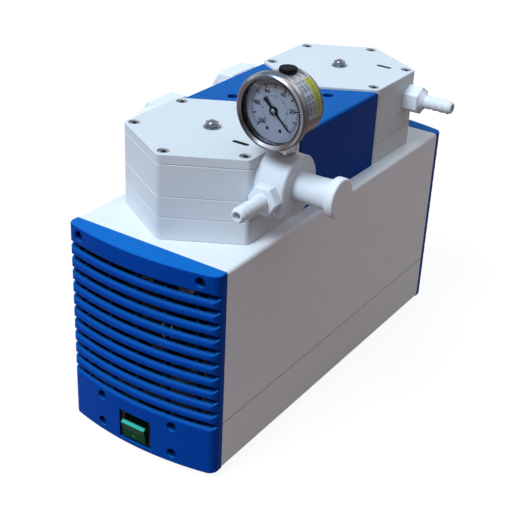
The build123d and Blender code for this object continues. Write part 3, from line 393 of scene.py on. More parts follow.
def drawn_stainless(name, colour):
    """Pressed and polished stainless of the gauge, with painted reflections: dark, warm and bright bands
    follow its round, and a painted highlight lies on the bezel's front lip.
    """
    metal = Finish(name, metallic=1.0, specular_tint=(0.66, 0.63, 0.62, 1.0))
    flat = metal.spot((gauge_x, 0, gauge_z), (1, 0, 1))
    reach = metal.node("ShaderNodeVectorMath", {"operation": "LENGTH"}, {0: flat}, 1)
    depth = metal.along("Y")
    marks = metal.rings(reach + depth * 0.8, 1500.0, 4.0)
    stain = metal.noise(60.0, 4.0, 0.6)
    roll = metal.rings(depth - reach * 0.7, 240.0, 2.0)
    across = metal.along("X", flat)
    rise = metal.along("Z", flat)
    turn = rise.math("ARCTAN2", rise, across) * (1 / math.tau) + 0.5
    shifted = turn + (roll - 0.5) * 0.11 + (stain - 0.5) * 0.06
    wrapped = shifted.math("FRACT", shifted)
    # Painted reflections: bands of colour that follow the turn round the gauge, shifted a little by two
    # noises.
    bands = metal.node("ShaderNodeValToRGB", {"stops": steel_bands(colour)}, {0: wrapped})
    face = metal.facing()
    outward = metal.along("X", face) * across + metal.along("Z", face) * rise
    inner = (outward * -1.0 / reach).above(0.15, 0.5)
    front = (metal.along("Y", face) * -1.0).above(0.72, 0.98)
    # Painted highlight on the bright front lip of the bezel.
    lip = front * (across / reach).above(-0.1, 0.6) * (rise / reach + 0.85).above(0.0, 0.3)
    lit = metal.mixed(lip * 0.8, bands, shaded(colour, 1.15))
    # Painted reflections on the bezel's inner cone.
    hollow = metal.node("ShaderNodeValToRGB", {"stops": cone_bands(colour)}, {0: turn})
    metal.feed("Base Color", metal.mixed(inner, lit, hollow))
    metal.feed("Roughness", 0.17 + marks * 0.09 + stain * 0.05)
    metal.relief(marks, 0.02 * MM, 0.3)
    return metal


def steel_bands(colour):
    """Painted reflection colours, as stops once round the gauge, from its left side through its underside,
    right and top.
    """
    brown = (colour[0] * 0.42, colour[1] * 0.33, colour[2] * 0.34, 1.0)
    warm_reflection = (colour[0] * 0.46, colour[1] * 0.35, colour[2] * 0.29, 1.0)
    dim_warm_reflection = (colour[0] * 0.23, colour[1] * 0.20, colour[2] * 0.185, 1.0)
    return [
        (0.0, brown),
        (0.07, shaded(colour, 0.07)),
        (0.19, shaded(colour, 0.12)),
        (0.25, shaded(colour, 0.75)),
        (0.31, warm_reflection),
        (0.38, dim_warm_reflection),
        (0.44, (colour[0] * 0.12, colour[1] * 0.08, colour[2] * 0.07, 1.0)),
        (0.55, shaded(colour, 0.12)),
        (0.62, shaded(colour, 0.36)),
        (0.67, shaded(colour, 1.25)),
        (0.71, (colour[0] * 0.30, colour[1] * 0.36, colour[2] * 0.46, 1.0)),
        (0.78, (colour[0] * 0.26, colour[1] * 0.32, colour[2] * 0.40, 1.0)),
        (0.83, shaded(colour, 0.95)),
        (0.87, shaded(colour, 0.36)),
        (0.94, brown),
        (1.0, brown),
    ]


def cone_bands(colour):
    """Painted reflection colours on the same turn round the gauge, for the bezel's inner cone, which sees
    the light from the other side.
    """
    brown = (colour[0] * 0.24, colour[1] * 0.18, colour[2] * 0.20, 1.0)
    dark = shaded(colour, 0.06)
    return [
        (0.0, brown),
        (0.08, dark),
        (0.16, shaded(colour, 0.22)),
        (0.21, shaded(colour, 1.15)),
        (0.27, shaded(colour, 0.9)),
        (0.33, shaded(colour, 0.3)),
        (0.42, dark),
        (0.62, dark),
        (0.72, brown),
        (0.82, shaded(colour, 0.3)),
        (0.9, brown),
        (1.0, brown),
    ]


def plated(name, colour, rough):
    """Chrome or zinc plating: bright, with faint stains and pin marks."""
    metal = Finish(name, metallic=1.0)
    stain = metal.noise(160.0, 4.0, 0.6)
    pins = metal.specks(1800.0).above(0.02, 0.2)
    metal.feed("Base Color", metal.mixed(stain, shaded(colour, 0.80), colour))
    metal.feed("Roughness", rough + stain * 0.14)
    metal.relief(pins, 0.01 * MM, 0.25)
    return metal


def sheet_stack(name, colour):
    """Edges of stacked electrical steel sheets, each half a millimetre thick, under thin varnish."""
    metal = Finish(name, metallic=0.85)
    saw = metal.along("Y") * 2000.0
    tooth = saw.math("FRACT", saw)
    gap = tooth.above(0.02, 0.16) * (1.0 - tooth.above(0.84, 0.98))
    each = metal.node("ShaderNodeTexWhiteNoise", {"noise_dimensions": "1D"}, {0: saw.math("FLOOR", saw)})
    edge = metal.mixed(each * 0.6, shaded(colour, 0.72), shaded(colour, 1.1))
    # Painted shade in the narrow gaps between the sheets.
    metal.feed("Base Color", metal.mixed(gap, shaded(colour, 0.2), edge))
    metal.feed("Roughness", 0.42 + each * 0.16)
    metal.relief(gap, 0.08 * MM, 0.7)
    return metal


def wound_copper(name, colour):
    """Varnished enamelled wire, wound side by side."""
    metal = Finish(name, metallic=0.75, coat_weight=0.5, coat_roughness=0.2)
    turns = metal.spot((0, 0, motor_axis_z), (1, 0, 1))
    reach = metal.node("ShaderNodeVectorMath", {"operation": "LENGTH"}, {0: turns}, 1)
    wobble = metal.noise(120.0, 2.0)
    wire = (reach + metal.along("Y") * 0.35) * 1100.0 + wobble * 1.6
    round_wire = wire.math("PINGPONG", wire, 0.5) * 2.0
    groove = round_wire.above(0.05, 0.6)
    # Painted shade in the creases between neighbouring turns of wire.
    metal.feed("Base Color", metal.mixed(groove, shaded(colour, 0.25), colour))
    metal.feed("Roughness", 0.34 + wobble * 0.2)
    metal.relief(groove, 0.25 * MM, 0.8)
    return metal


def cast_metal(name, colour):
    """Die-cast aluminium after tumbling: grainy and dull, with painted shade in its pits."""
    metal = Finish(name, metallic=0.9)
    grain = metal.noise(520.0, 4.0, 0.65)
    pits = metal.specks(900.0).above(0.08, 0.4)
    broad = metal.noise(22.0, 3.0)
    body = metal.mixed(broad, shaded(colour, 0.8), colour)
    # Painted shade in the pits.
    metal.feed("Base Color", metal.mixed(pits, shaded(colour, 0.62), body))
    metal.feed("Roughness", 0.46 + grain * 0.18)
    metal.relief(grain * 0.7 + pits * 0.3, 0.16 * MM, 0.6)
    return metal


def soft_rubber(name, colour):
    """Black moulded rubber with a matt skin and a trace of bloom."""
    rubber = Finish(name, specular_ior_level=0.1)
    bloom = rubber.noise(40.0, 4.0, 0.6).above(0.5, 0.8)
    grain = rubber.noise(1000.0, 3.0)
    rubber.feed("Base Color", rubber.mixed(bloom * 0.4, colour, shaded(colour, 2.6)))
    rubber.feed("Roughness", 0.62 + grain * 0.16)
    rubber.relief(grain, 0.06 * MM, 0.5)
    return rubber


def lit_green(name, colour):
    """Clear green plastic of an illuminated rocker: glossy, deeper in its middle, with painted shadow on its
    top and a painted highlight along the top's front edge.
    """
    plastic = Finish(name, specular_ior_level=0.02)
    cloud = plastic.noise(180.0, 3.0)
    height = plastic.along("Z", plastic.spot(rocker_pivot))
    ahead = plastic.along("Y", plastic.spot(rocker_pivot)) * -1.0
    top = height.above(*rocker_shadow_top)
    crown = top * ahead.above(*rocker_highlight_edge)
    clear = plastic.mixed(cloud * 0.6, colour, shaded(colour, 0.7))
    # Painted shadow on the rocker's top, behind its front edge.
    body = plastic.mixed(top, clear, shaded(colour, 0.08))
    # Painted highlight: a pale mint strip along the front edge of the top.
    plastic.feed("Base Color", plastic.mixed(crown, body, tone(60, 176, 160)))
    plastic.feed("Roughness", 0.16 + cloud * 0.1)
    plastic.relief(cloud, 0.05 * MM, 0.3)
    return plastic


def printed_dial(name, colour):
    """Painted metal dial plate: matt, darker towards its rim, browner above the damping liquid."""
    paint = Finish(name, specular_ior_level=0.25)
    flat = paint.spot((gauge_x, 0, gauge_z), (1, 0, 1))
    reach = paint.node("ShaderNodeVectorMath", {"operation": "LENGTH"}, {0: flat}, 1)
    rim = reach.above(dial_radius * 0.8, dial_radius)
    speck = paint.noise(900.0, 3.0)
    body = paint.mixed(speck, shaded(colour, 0.95), colour)
    dry = paint.along("Z", flat).above(liquid_rise - 1.2 * MM, liquid_rise + 0.8 * MM)
    tinted = paint.mixed(dry * 0.75, body, (colour[0] * 0.75, colour[1] * 0.55, colour[2] * 0.5, 1.0))
    paint.feed("Base Color", paint.mixed(rim * 0.35, tinted, shaded(colour, 0.6)))
    paint.feed("Roughness", 0.5 + speck * 0.12)
    paint.relief(speck, 0.02 * MM, 0.3)
    return paint


def see_through(name, colour, ior, rough=0.0):
    """Clear glass or liquid that lets the lamps' light pass straight in."""
    clear = Finish(name, transmission_weight=1.0, ior=ior)
    clear.shader.inputs["Base Color"].default_value = colour
    film = clear.noise(35.0, 3.0).above(0.5, 0.85)
    clear.feed("Roughness", rough + film * 0.03)
    rays = clear.node("ShaderNodeLightPath", None, None, 1)
    pane = clear.node("ShaderNodeBsdfTransparent", None, {0: colour})
    body = Wire(clear, clear.shader.outputs[0])
    both = clear.node("ShaderNodeMixShader", None, {0: rays, 1: body, 2: pane})
    clear.tree.links.new(both.socket, clear.surface.inputs[0])
    return clear


finishes = {
    "housing_white": powder_coat("housing_white", tone(229, 233, 238)),
    # The second colour of the caps is painted light on their faces that look up.
    "cap_blue": moulded_blue("cap_blue", (0.001, 0.050, 0.33, 1.0), (0.004, 0.137, 0.50, 1.0)),
    "head_white": machined_white("head_white", tone(209, 216, 222)),
    "screw_steel": plated("screw_steel", tone(142, 150, 156), 0.2),
    "chrome": plated("chrome", tone(124, 129, 137), 0.10),
    "stainless": drawn_stainless("stainless", tone(176, 178, 184)),
    "turned_steel": turned_metal("turned_steel", tone(178, 178, 176), 0.24),
    "lamination": sheet_stack("lamination", tone(120, 122, 128)),
    "copper": wound_copper("copper", tone(190, 104, 60)),
    "cast_aluminium": cast_metal("cast_aluminium", tone(172, 174, 176)),
    "capacitor_can": turned_metal("capacitor_can", tone(196, 198, 200), 0.3, "Z", 700.0),
    "black_plastic": moulded_smooth("black_plastic", tone(17, 20, 28), 0.42, 0.12),
    "green_plastic": lit_green("green_plastic", tone(6, 66, 38)),
    "neck_grey": machined_white("neck_grey", tone(219, 227, 235)),
    "knob_grey": moulded_smooth("knob_grey", tone(228, 233, 240), 0.4, 0.2),
    "gauge_glass": see_through("gauge_glass", (0.97, 0.98, 0.98, 1.0), 1.13),
    # The dial's white is given as a dark grey-blue: painted shade under the glass and the bezel.
    "dial_white": printed_dial("dial_white", tone(97, 103, 118)),
    "needle_black": moulded_smooth("needle_black", tone(9, 10, 13), 0.5, 0.04),
    "brass": turned_metal("brass", tone(196, 160, 92), 0.24),
    "black_rubber": soft_rubber("black_rubber", tone(13, 15, 19)),
    "diaphragm_rubber": soft_rubber("diaphragm_rubber", tone(34, 33, 34)),
    "tube_white": moulded_smooth("tube_white", tone(226, 231, 236), 0.34),
}

for node in nodes.values():
    for holder in node.material_slots:
        holder.material = finishes[holder.material.name.split(".")[0]].material


def add_piece(name, mesh, body, slot, material=None):
    """A mesh already in its place becomes a piece that rides on a body."""
    piece = bpy.data.objects.new(name, mesh)
    bpy.context.scene.collection.objects.link(piece)
    mesh.materials.clear()
    mesh.materials.append(material or finishes[slot].material)
    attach(piece, body)
    return piece


def mesh_of(name, shape):
    """Turns a bmesh into a mesh whose faces point outwards."""
    bmesh.ops.recalc_face_normals(shape, faces=shape.faces)
    mesh = bpy.data.meshes.new(name)
    shape.to_mesh(mesh)
    shape.free()
    return smoothed(mesh)


def smoothed(mesh):
    """Rounded shading, with sharp edges past the crease angle."""
    mesh.polygons.foreach_set("use_smooth", [True] * len(mesh.polygons))
    mesh.set_sharp_from_angle(angle=crease_angle)
    return mesh


def softened(node, width, slot, material=None):
    """A copy of a CAD node whose sharp edges are rounded. It takes the node's place."""
    shape = bmesh.new()
    shape.from_mesh(nodes[node].data)
    bmesh.ops.remove_doubles(shape, verts=shape.verts, dist=2e-6)
    bmesh.ops.dissolve_limit(shape, angle_limit=math.radians(0.4), verts=shape.verts, edges=shape.edges)
    mesh = bpy.data.meshes.new(node + "_soft")
    shape.to_mesh(mesh)
    shape.free()
    mesh.polygons.foreach_set("use_smooth", [True] * len(mesh.polygons))
    holder = bpy.data.objects.new(node + "_soft", mesh)
    bpy.context.scene.collection.objects.link(holder)
    bevel = holder.modifiers.new("round", "BEVEL")
    bevel.width = width
    bevel.segments = 2
    bevel.limit_method = "ANGLE"
    bevel.angle_limit = math.radians(28)
    normals = holder.modifiers.new("even", "WEIGHTED_NORMAL")
    normals.weight = 100
    seen = holder.evaluated_get(bpy.context.evaluated_depsgraph_get())
    done = bpy.data.meshes.new_from_object(seen)
    bpy.data.objects.remove(holder)
    piece = add_piece(node + "_soft", done, body_of(nodes[node])[0], slot, material)
    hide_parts(node)


def grow(name, tree, points, sizes, body, slot):
    """Runs a Geometry Nodes tree on points and keeps its result as a plain mesh."""
    seed = bpy.data.objects.new(name + "_seed", points)
    bpy.context.scene.collection.objects.link(seed)
    modifier = seed.modifiers.new("grow", "NODES")
    modifier.node_group = tree
    for item in tree.interface.items_tree:
        if item.in_out == "INPUT" and item.name in sizes:
            modifier[item.identifier] = sizes[item.name]
    seen = seed.evaluated_get(bpy.context.evaluated_depsgraph_get())
    mesh = bpy.data.meshes.new_from_object(seen)
    mesh.name = name
    seed.modifiers.remove(modifier)
    bpy.data.objects.remove(seed)
    return add_piece(name, smoothed(mesh), body, slot)


def point_mesh(name, places):
    """Loose points, each with the direction that its screw faces."""
    mesh = bpy.data.meshes.new(name)
    mesh.from_pydata([place for place, out in places], [], [])
    facing = mesh.attributes.new("facing", "FLOAT_VECTOR", "POINT")
    facing.data.foreach_set("vector", [value for place, out in places for value in out])
    return mesh


class Growth(Net):
    """A Geometry Nodes tree with named inputs."""

    def __init__(self, name, **entries):
        tree = bpy.data.node_groups.new(name, "GeometryNodeTree")
        super().__init__(tree)
        tree.interface.new_socket("Geometry", in_out="OUTPUT", socket_type="NodeSocketGeometry")
        tree.interface.new_socket("Geometry", in_out="INPUT", socket_type="NodeSocketGeometry")
        for words, (kind, value) in entries.items():
            entry = tree.interface.new_socket(
                words.replace("_", " ").capitalize(), in_out="INPUT", socket_type="NodeSocket" + kind
            )
            if value is not None:
                entry.default_value = value
        self.start = tree.nodes.new("NodeGroupInput")
        self.end = tree.nodes.new("NodeGroupOutput")
        self.points = Wire(self, self.start.outputs[0])

    def entry(self, words):
        return Wire(self, self.start.outputs[words])

    def vector(self, x=0.0, y=0.0, z=0.0):
        return self.node("ShaderNodeCombineXYZ", None, {0: x, 1: y, 2: z})

    def moved(self, shape, x=0.0, y=0.0, z=0.0):
        inputs = {"Geometry": shape, "Translation": self.vector(x, y, z)}
        return self.node("GeometryNodeTransform", None, inputs)

    def joined(self, *shapes):
        made = self.tree.nodes.new("GeometryNodeJoinGeometry")
        for shape in reversed(shapes):
            self.tree.links.new(shape.socket, made.inputs[0])
        return Wire(self, made.outputs[0])

    def close(self, shape, material):
        real = self.node("GeometryNodeRealizeInstances", None, {0: shape})
        done = self.node("GeometryNodeSetMaterial", None, {"Geometry": real, "Material": material})
        self.tree.links.new(done.socket, self.end.inputs[0])
        return self.tree


def screw_tree():
    """Machine screws: a rounded head with a hexagon or cross recess, and a plain shank behind it."""
    net = Growth(
        "machine_screws",
        head_radius=("Float", 3.7 * MM),
        head_height=("Float", 2.6 * MM),
        edge=("Float", 0.9 * MM),
        shank_radius=("Float", 2.0 * MM),
        shank_length=("Float", 12.0 * MM),
        recess_radius=("Float", 1.9 * MM),
        recess_width=("Float", 0.8 * MM),
        recess_depth=("Float", 1.5 * MM),
        cross=("Bool", True),
        seed=("Int", 7),
        metal=("Material", None),
    )
    radius = net.entry("Head radius")
    height = net.entry("Head height")
    edge = net.entry("Edge")
    depth = net.entry("Recess depth")

    def drum(low, high, first, second, sides=28):
        inputs = {"Vertices": sides, "Radius Top": second, "Radius Bottom": first, "Depth": high - low}
        return net.moved(net.node("GeometryNodeMeshCone", None, inputs), z=low)

    waist = height - edge
    shoulder = height - edge * 0.35
    stack = [
        drum(0.0, waist, radius, radius),
        drum(waist, shoulder, radius, radius - edge * 0.3),
        drum(shoulder, height, radius - edge * 0.3, radius - edge),
    ]
    head = net.node(
        "GeometryNodeMeshBoolean",
        {"operation": "UNION", "solver": "EXACT"},
        {"Mesh 2": net.joined(*stack), "Self Intersection": True},
    )
    reach = net.entry("Recess radius")
    width = net.entry("Recess width")
    hexagon = net.node(
        "GeometryNodeMeshCylinder", None, {"Vertices": 6, "Radius": reach, "Depth": depth * 2.0}
    )
    arm = net.node("GeometryNodeMeshCube", None, {"Size": net.vector(reach * 2.0, width, depth * 2.0)})
    other = net.node("GeometryNodeMeshCube", None, {"Size": net.vector(width, reach * 2.0, depth * 2.0)})
    cutter = net.node(
        "GeometryNodeSwitch",
        {"input_type": "GEOMETRY"},
        {"Switch": net.entry("Cross"), "False": hexagon, "True": net.joined(arm, other)},
    )
    cut = net.node(
        "GeometryNodeMeshBoolean",
        {"operation": "DIFFERENCE", "solver": "EXACT"},
        {"Mesh 1": head, "Mesh 2": net.moved(cutter, z=height), "Self Intersection": True},
    )
    shank_radius = net.entry("Shank radius")
    shank = drum(net.entry("Shank length") * -1.0, 0.0, shank_radius, shank_radius, 20)
    vectors = {"data_type": "FLOAT_VECTOR"}
    facing = net.node("GeometryNodeInputNamedAttribute", vectors, {"Name": "facing"})
    turned = net.node("FunctionNodeAlignRotationToVector", {"axis": "Z"}, {"Vector": facing})
    screws = net.node(
        "GeometryNodeInstanceOnPoints",
        None,
        {"Points": net.points, "Instance": net.joined(cut, shank), "Rotation": turned},
    )
    spin = net.node(
        "FunctionNodeRandomValue",
        {"data_type": "FLOAT"},
        {"Min": 0.0, "Max": math.tau, "Seed": net.entry("Seed")},
        1,
    )
    twisted = net.node(
        "GeometryNodeRotateInstances",
        None,
        {"Instances": screws, "Rotation": net.vector(z=spin), "Local Space": True},
    )
    return net.close(twisted, net.entry("Metal"))


def tick_tree():
    """Marks of a round dial, standing on its face, with every fifth one longer."""
    net = Growth(
        "dial_ticks",
        count=("Int", 51),
        start=("Float", 0.0),
        sweep=("Float", 1.0),
        outer_radius=("Float", 21.0 * MM),
        length=("Float", 1.4 * MM),
        long_length=("Float", 2.6 * MM),
        width=("Float", 0.36 * MM),
        thickness=("Float", 0.06 * MM),
        metal=("Material", None),
    )
    count = net.entry("Count")
    index = net.node("GeometryNodeInputIndex")
    turn = net.entry("Start") + index * net.entry("Sweep") / (count - 1.0)
    fifth = 1.0 - index.math("MODULO", index, 5.0).above(0.2, 0.8)
    long_part = net.entry("Long length") - net.entry("Length")
    length = net.entry("Length") + fifth * long_part
    middle = net.entry("Outer radius") - length * 0.5
    place = net.vector(middle * turn.math("COSINE", turn), 0.0, middle * turn.math("SINE", turn))
    marks = net.node("GeometryNodePoints", None, {"Count": count, "Position": place})
    width = net.entry("Width") * (1.0 + fifth * 0.7)
    cube = net.node("GeometryNodeMeshCube", None, {"Size": (1.0, 1.0, 1.0)})
    rows = net.node(
        "GeometryNodeInstanceOnPoints",
        None,
        {
            "Points": marks,
            "Instance": cube,
            "Rotation": net.vector(y=turn * -1.0),
            "Scale": net.vector(length, net.entry("Thickness"), width),
        },
    )
    placed = net.moved(rows, gauge_x, dial_front - 0.03 * MM, gauge_z)
    return net.close(placed, net.entry("Metal"))


def plain_text(name, words, size, place):
    """Flat lettering that faces the front, made a mesh and then put in its place."""
    letters = bpy.data.curves.new(name, "FONT")
    letters.body = words
    letters.size = size
    letters.align_x = "CENTER"
    letters.align_y = "CENTER"
    letters.resolution_u = 3
    letters.extrude = print_thickness
    letters.offset = size * stroke_swell
    holder = bpy.data.objects.new(name + "_text", letters)
    bpy.context.scene.collection.objects.link(holder)
    seen = holder.evaluated_get(bpy.context.evaluated_depsgraph_get())
    mesh = bpy.data.meshes.new_from_object(seen)
    bpy.data.objects.remove(holder)
    mesh.transform(Matrix.Translation(place) @ Matrix.Rotation(math.pi / 2, 4, "X"))
    return mesh


def merged(name, meshes, body, slot, material=None):
    """Several placed meshes become one piece."""
    shape = bmesh.new()
    for mesh in meshes:
        shape.from_mesh(mesh)
    whole = bpy.data.meshes.new(name)
    shape.to_mesh(whole)
    shape.free()
    for mesh in meshes:
        bpy.data.meshes.remove(mesh)
    add_piece(name, smoothed(whole), body, slot, material)


def spun(name, outline, axis_place, body, slot, steps):
    """Turns an outline of (reach, height) points, in millimetres, round an axis that runs along Y."""
    shape = bmesh.new()
    axis = Vector((0, 1, 0))
    side = axis.orthogonal().normalized()
    rings = []
    for step in range(steps):
        turn = Matrix.Rotation(math.tau * step / steps, 3, axis) @ side
        rings.append([shape.verts.new(Vector(axis_place) + (axis * h + turn * r) * MM) for r, h in outline])
    for step in range(steps):
        here, there = rings[step], rings[(step + 1) % steps]
        for row in range(len(outline) - 1):
            shape.faces.new((here[row], here[row + 1], there[row + 1], there[row]))
    bmesh.ops.remove_doubles(shape, verts=shape.verts, dist=1e-7)
    add_piece(name, mesh_of(name, shape), body, slot)


def loft(shape, outlines):
    """Joins closed outlines one after the other with faces, and caps both ends."""
    rings = [[shape.verts.new(place) for place in outline] for outline in outlines]
    for here, there in zip(rings, rings[1:]):
        for corner in range(len(here)):
            following = (corner + 1) % len(here)
            shape.faces.new((here[corner], here[following], there[following], there[corner]))
    shape.faces.new(rings[0])
    shape.faces.new(rings[-1])


def round_white_edges():
    """Takes the sharp edges off the heads, the valve and the pipe fittings."""
    for end in ("front", "rear"):
        for layer in ("head_base", "chamber_plate", "port_block", "head_lid"):
            softened(f"{layer}_{end}", 0.35 * MM, "head_white")
    valve_white = machined_white("valve_white", tone(212, 220, 228), 0.15).material
    fitting_white = machined_white("fitting_white", tone(224, 231, 239), 0.3).material
    softened("regulator_body", 0.6 * MM, "head_white", valve_white)
    softened("regulator_knob", 0.5 * MM, "knob_grey")
    softened("inlet_barb", 0.35 * MM, "head_white", fitting_white)
    softened("outlet_barb", 0.35 * MM, "head_white", fitting_white)
    softened("link_fittings", 0.4 * MM, "head_white", fitting_white)


def case_screw_places():
    """Seat and direction of each screw of the caps, the feet and the saddle."""
    places = []
    for side in (-1, 1):
        for end in (-1, 1):
            for x, z in cap_screw_places:
                places.append(((side * x, end * cap_screw_seat, z), (0, end, 0)))
            x, y, z = foot_screw_place
            places.append(((side * x, end * y, z), (0, 0, -1)))
        for y in saddle_screw_y:
            places.append(((side * saddle_screw_x, y, saddle_screw_seat), (0, 0, 1)))
    return places


def head_screw_places():
    """Seat and direction of the six screws in each lid."""
    places = []
    for middle in head_middle_y:
        for step in range(6):
            turn = math.radians(30 + 60 * step)
            x = head_screw_circle * math.cos(turn)
            y = middle + head_screw_circle * math.sin(turn)
            places.append(((x, y, head_screw_seat), (0, 0, 1)))
    return places


def screws_at(name, places, tree, sizes):
    return grow(name, tree, point_mesh(name + "_points", places), sizes, "pump_body", "screw_steel")


def dress_screws():
    """Machine screws in place of the plain ones of the CAD model."""
    tree = screw_tree()
    cross_sizes = {"Cross": True, "Metal": finishes["screw_steel"].material}
    case_heads = screws_at("case_screw_heads", case_screw_places(), tree, cross_sizes)
    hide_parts("case_screws")
    socket_sizes = {
        "Head radius": 4.2 * MM,
        "Head height": 5.0 * MM,
        "Edge": 0.5 * MM,
        "Shank radius": 2.5 * MM,
        "Shank length": 57.2 * MM,
        "Recess radius": 2.31 * MM,
        "Recess depth": 2.5 * MM,
        "Cross": False,
        "Seed": 3,
        "Metal": finishes["screw_steel"].material,
    }
    socket_heads = screws_at("socket_head_screws", head_screw_places(), tree, socket_sizes)
    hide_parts("head_screws")


def dial_ticks():
    """An outer and an inner ring of marks."""
    tree = tick_tree()
    rings = (("outer", 51, 20.2, 2.1, 0.6), ("inner", 31, 11.2, 1.0, 0.42))
    for name, count, radius, length, width in rings:
        sizes = {
            "Count": count,
            "Start": zero_turn,
            "Sweep": full_turn,
            "Outer radius": radius * MM,
            "Length": length * MM,
            "Long length": length * 1.9 * MM,
            "Width": width * MM,
            "Metal": finishes["needle_black"].material,
        }
        grow(f"dial_ticks_{name}", tree, point_mesh("tick_points", []), sizes, "pump_body", "needle_black")


def dial_numbers():
    """Plain numbers in equal steps round the dial."""
    words = ("0", "20", "40", "60", "80", "100")
    front = dial_front - 2 * print_thickness
    numbers = []
    for step, word in enumerate(words):
        turn = zero_turn + full_turn * step / (len(words) - 1)
        x = gauge_x + number_circle * math.cos(turn)
        z = gauge_z + number_circle * math.sin(turn)
        numbers.append(plain_text("dial_number", word, number_height, (x, front, z)))
    merged("dial_numbers", numbers, "pump_body", "needle_black")


def dial_metal():
    """Polished cap on the needle's hub, and the two small screws that hold the dial."""
    cap = [(0, -0.7), (0.5, -0.68), (1.1, -0.5), (1.6, -0.05), (1.7, 0.0), (1.7, 0.3), (0, 0.3)]
    spun("needle_hub_cap", cap, (gauge_x, hub_front, gauge_z), "needle", "chrome", 32)
    stud = [(0, -0.55), (0.7, -0.5), (1.15, -0.3), (1.3, 0.0), (0, 0.0)]
    for name, side in (("dial_screw_left", -1), ("dial_screw_right", 1)):
        place = (gauge_x + side * dial_screw_reach, dial_front, gauge_z - dial_screw_drop)
        spun(name, stud, place, "pump_body", "needle_black", 20)


def ruled_film(name, colour, ink, lines):
    """Glossy printed film of the gauge's label: plain ruled lines, broken here and there, and no words."""
    film = Finish(name, specular_ior_level=0.2)
    depth = film.along("Y")
    flat = film.spot((gauge_x, 0, gauge_z), (1, 0, 1))
    rise = film.along("Z", flat)
    turn = rise.math("ARCTAN2", rise, film.along("X", flat))
    broken = film.rings(turn, 9.0, 1.0).above(0.42, 0.46)
    rule = 0.0
    for middle, half in lines:
        offset = depth - middle * MM
        rule = rule + (1.0 - offset.math("ABSOLUTE", offset).above(half * MM, (half + 0.15) * MM))
    # Painted shade: the label keeps its full colour only between these turns round the case and is darker
    # elsewhere.
    shade = turn.above(math.radians(-10), math.radians(55))
    worn = film.noise(160.0, 3.0)
    body = film.mixed(shade, shaded(colour, 0.45), colour)
    film.feed("Base Color", film.mixed(rule * broken * 0.85, body, ink))
    film.feed("Roughness", 0.3 + worn * 0.12)
    film.relief(worn, 0.02 * MM, 0.3)
    return film.material


def label_patch(name, front, back, material):
    """A thin curved patch of the label, which lies round the gauge's case."""
    inner = gauge_case_radius + 0.02 * MM
    outer = inner + 0.12 * MM
    first, last = label_turns
    outlines = []
    for step in range(label_steps + 1):
        turn = first + (last - first) * step / label_steps
        corners = ((inner, front), (outer, front), (outer, back), (inner, back))
        across, rise = math.cos(turn), math.sin(turn)
        outlines.append([(gauge_x + reach * across, y, gauge_z + reach * rise) for reach, y in corners])
    shape = bmesh.new()
    loft(shape, outlines)
    add_piece(name, mesh_of(name, shape), "pump_body", "dial_white", material)


def case_label():
    """White label with a yellow stripe behind it. Lines are (middle along Y, half width) in millimetres."""
    white_lines = ((-115.6, 0.5), (-112.9, 0.8), (-110.4, 0.35), (-108.2, 0.6))
    yellow_lines = ((-102.4, 0.3),)
    white = ruled_film("label_white", tone(186, 196, 212), tone(30, 30, 44), white_lines)
    yellow = ruled_film("label_yellow", tone(168, 176, 62), tone(30, 30, 20), yellow_lines)
    label_patch("case_label", -117.5 * MM, -106.5 * MM, white)
    label_patch("case_label_stripe", -106.3 * MM, -98.5 * MM, yellow)


def liquid_line():
    """Edge of the damping liquid behind the glass: a thin wavy ribbon near the dial's top."""
    half = 17.6 * MM
    steps = 60
    section = ((-122.4, -0.25), (-122.4, 0.2), (-124.0, 0.75), (-124.0, -0.2))
    outlines = []
    for step in range(steps + 1):
        across = -half + 2 * half * step / steps
        wave = 0.35 * math.sin(across * 520) + 0.2 * math.sin(across * 1130 + 1.0)
        climb = 1.2 * (across / half) ** 8
        middle = gauge_z + liquid_rise + (wave + climb) * MM - across * 0.05
        outlines.append([(gauge_x + across, y * MM, middle + z * MM) for y, z in section])
    shape = bmesh.new()
    loft(shape, outlines)
    liquid = see_through("damping_liquid", (0.9, 0.88, 0.86, 1.0), 1.33, 0.02)
    mesh = mesh_of("liquid_line", shape)
    add_piece("liquid_line", mesh, "pump_body", "gauge_glass", liquid.material)


def switch_marks():
    """On and off marks, printed on the rocker's two faces."""
    marks = []
    for words, side in (("I", 1), ("O", -1)):
        mesh = plain_text("switch_mark", words, mark_height, (0, 0, 0))
        swell = rocker_rise * mark_lift / rocker_half_height
        face = Vector((0, -(rocker_waist + swell + 0.03 * MM), side * mark_lift))
        lean = side * math.atan2(rocker_rise, rocker_half_height)
        mesh.transform(Matrix.Translation(face) @ Matrix.Rotation(lean, 4, "X"))
        mesh.transform(Matrix.Translation(rocker_pivot) @ Matrix.Rotation(rocker_tilt, 4, "X"))
        marks.append(mesh)
    paint = moulded_smooth("switch_mark_paint", tone(64, 104, 84), 0.4, 0.1)
    merged("switch_marks", marks, "rocker", "dial_white", material=paint.material)


def lid_marks():
    """Dark filling of the short slot in each lid, pressed in and a little proud of it.

    Rows are (height over the lid, half width), in millimetres.
    """
    rows = ((-0.43, 0.72), (0.0, 0.72), (0.0, 2.1), (0.15, 2.0))
    shape = bmesh.new()
    for x, y in lid_slots:
        outlines = []
        for rise, half_width in rows:
            outline = []
            for side, start in ((1, -90), (-1, 90)):
                for step in range(9):
                    turn = math.radians(start + 180 * step / 8)
                    reach = side * lid_slot_half + half_width * MM * math.cos(turn)
                    across = half_width * MM * math.sin(turn)
                    outline.append((x + reach, y + across, lid_top + rise * MM))
            outlines.append(outline)
        loft(shape, outlines)
    add_piece("lid_marks", mesh_of("lid_marks", shape), "pump_body", "needle_black")


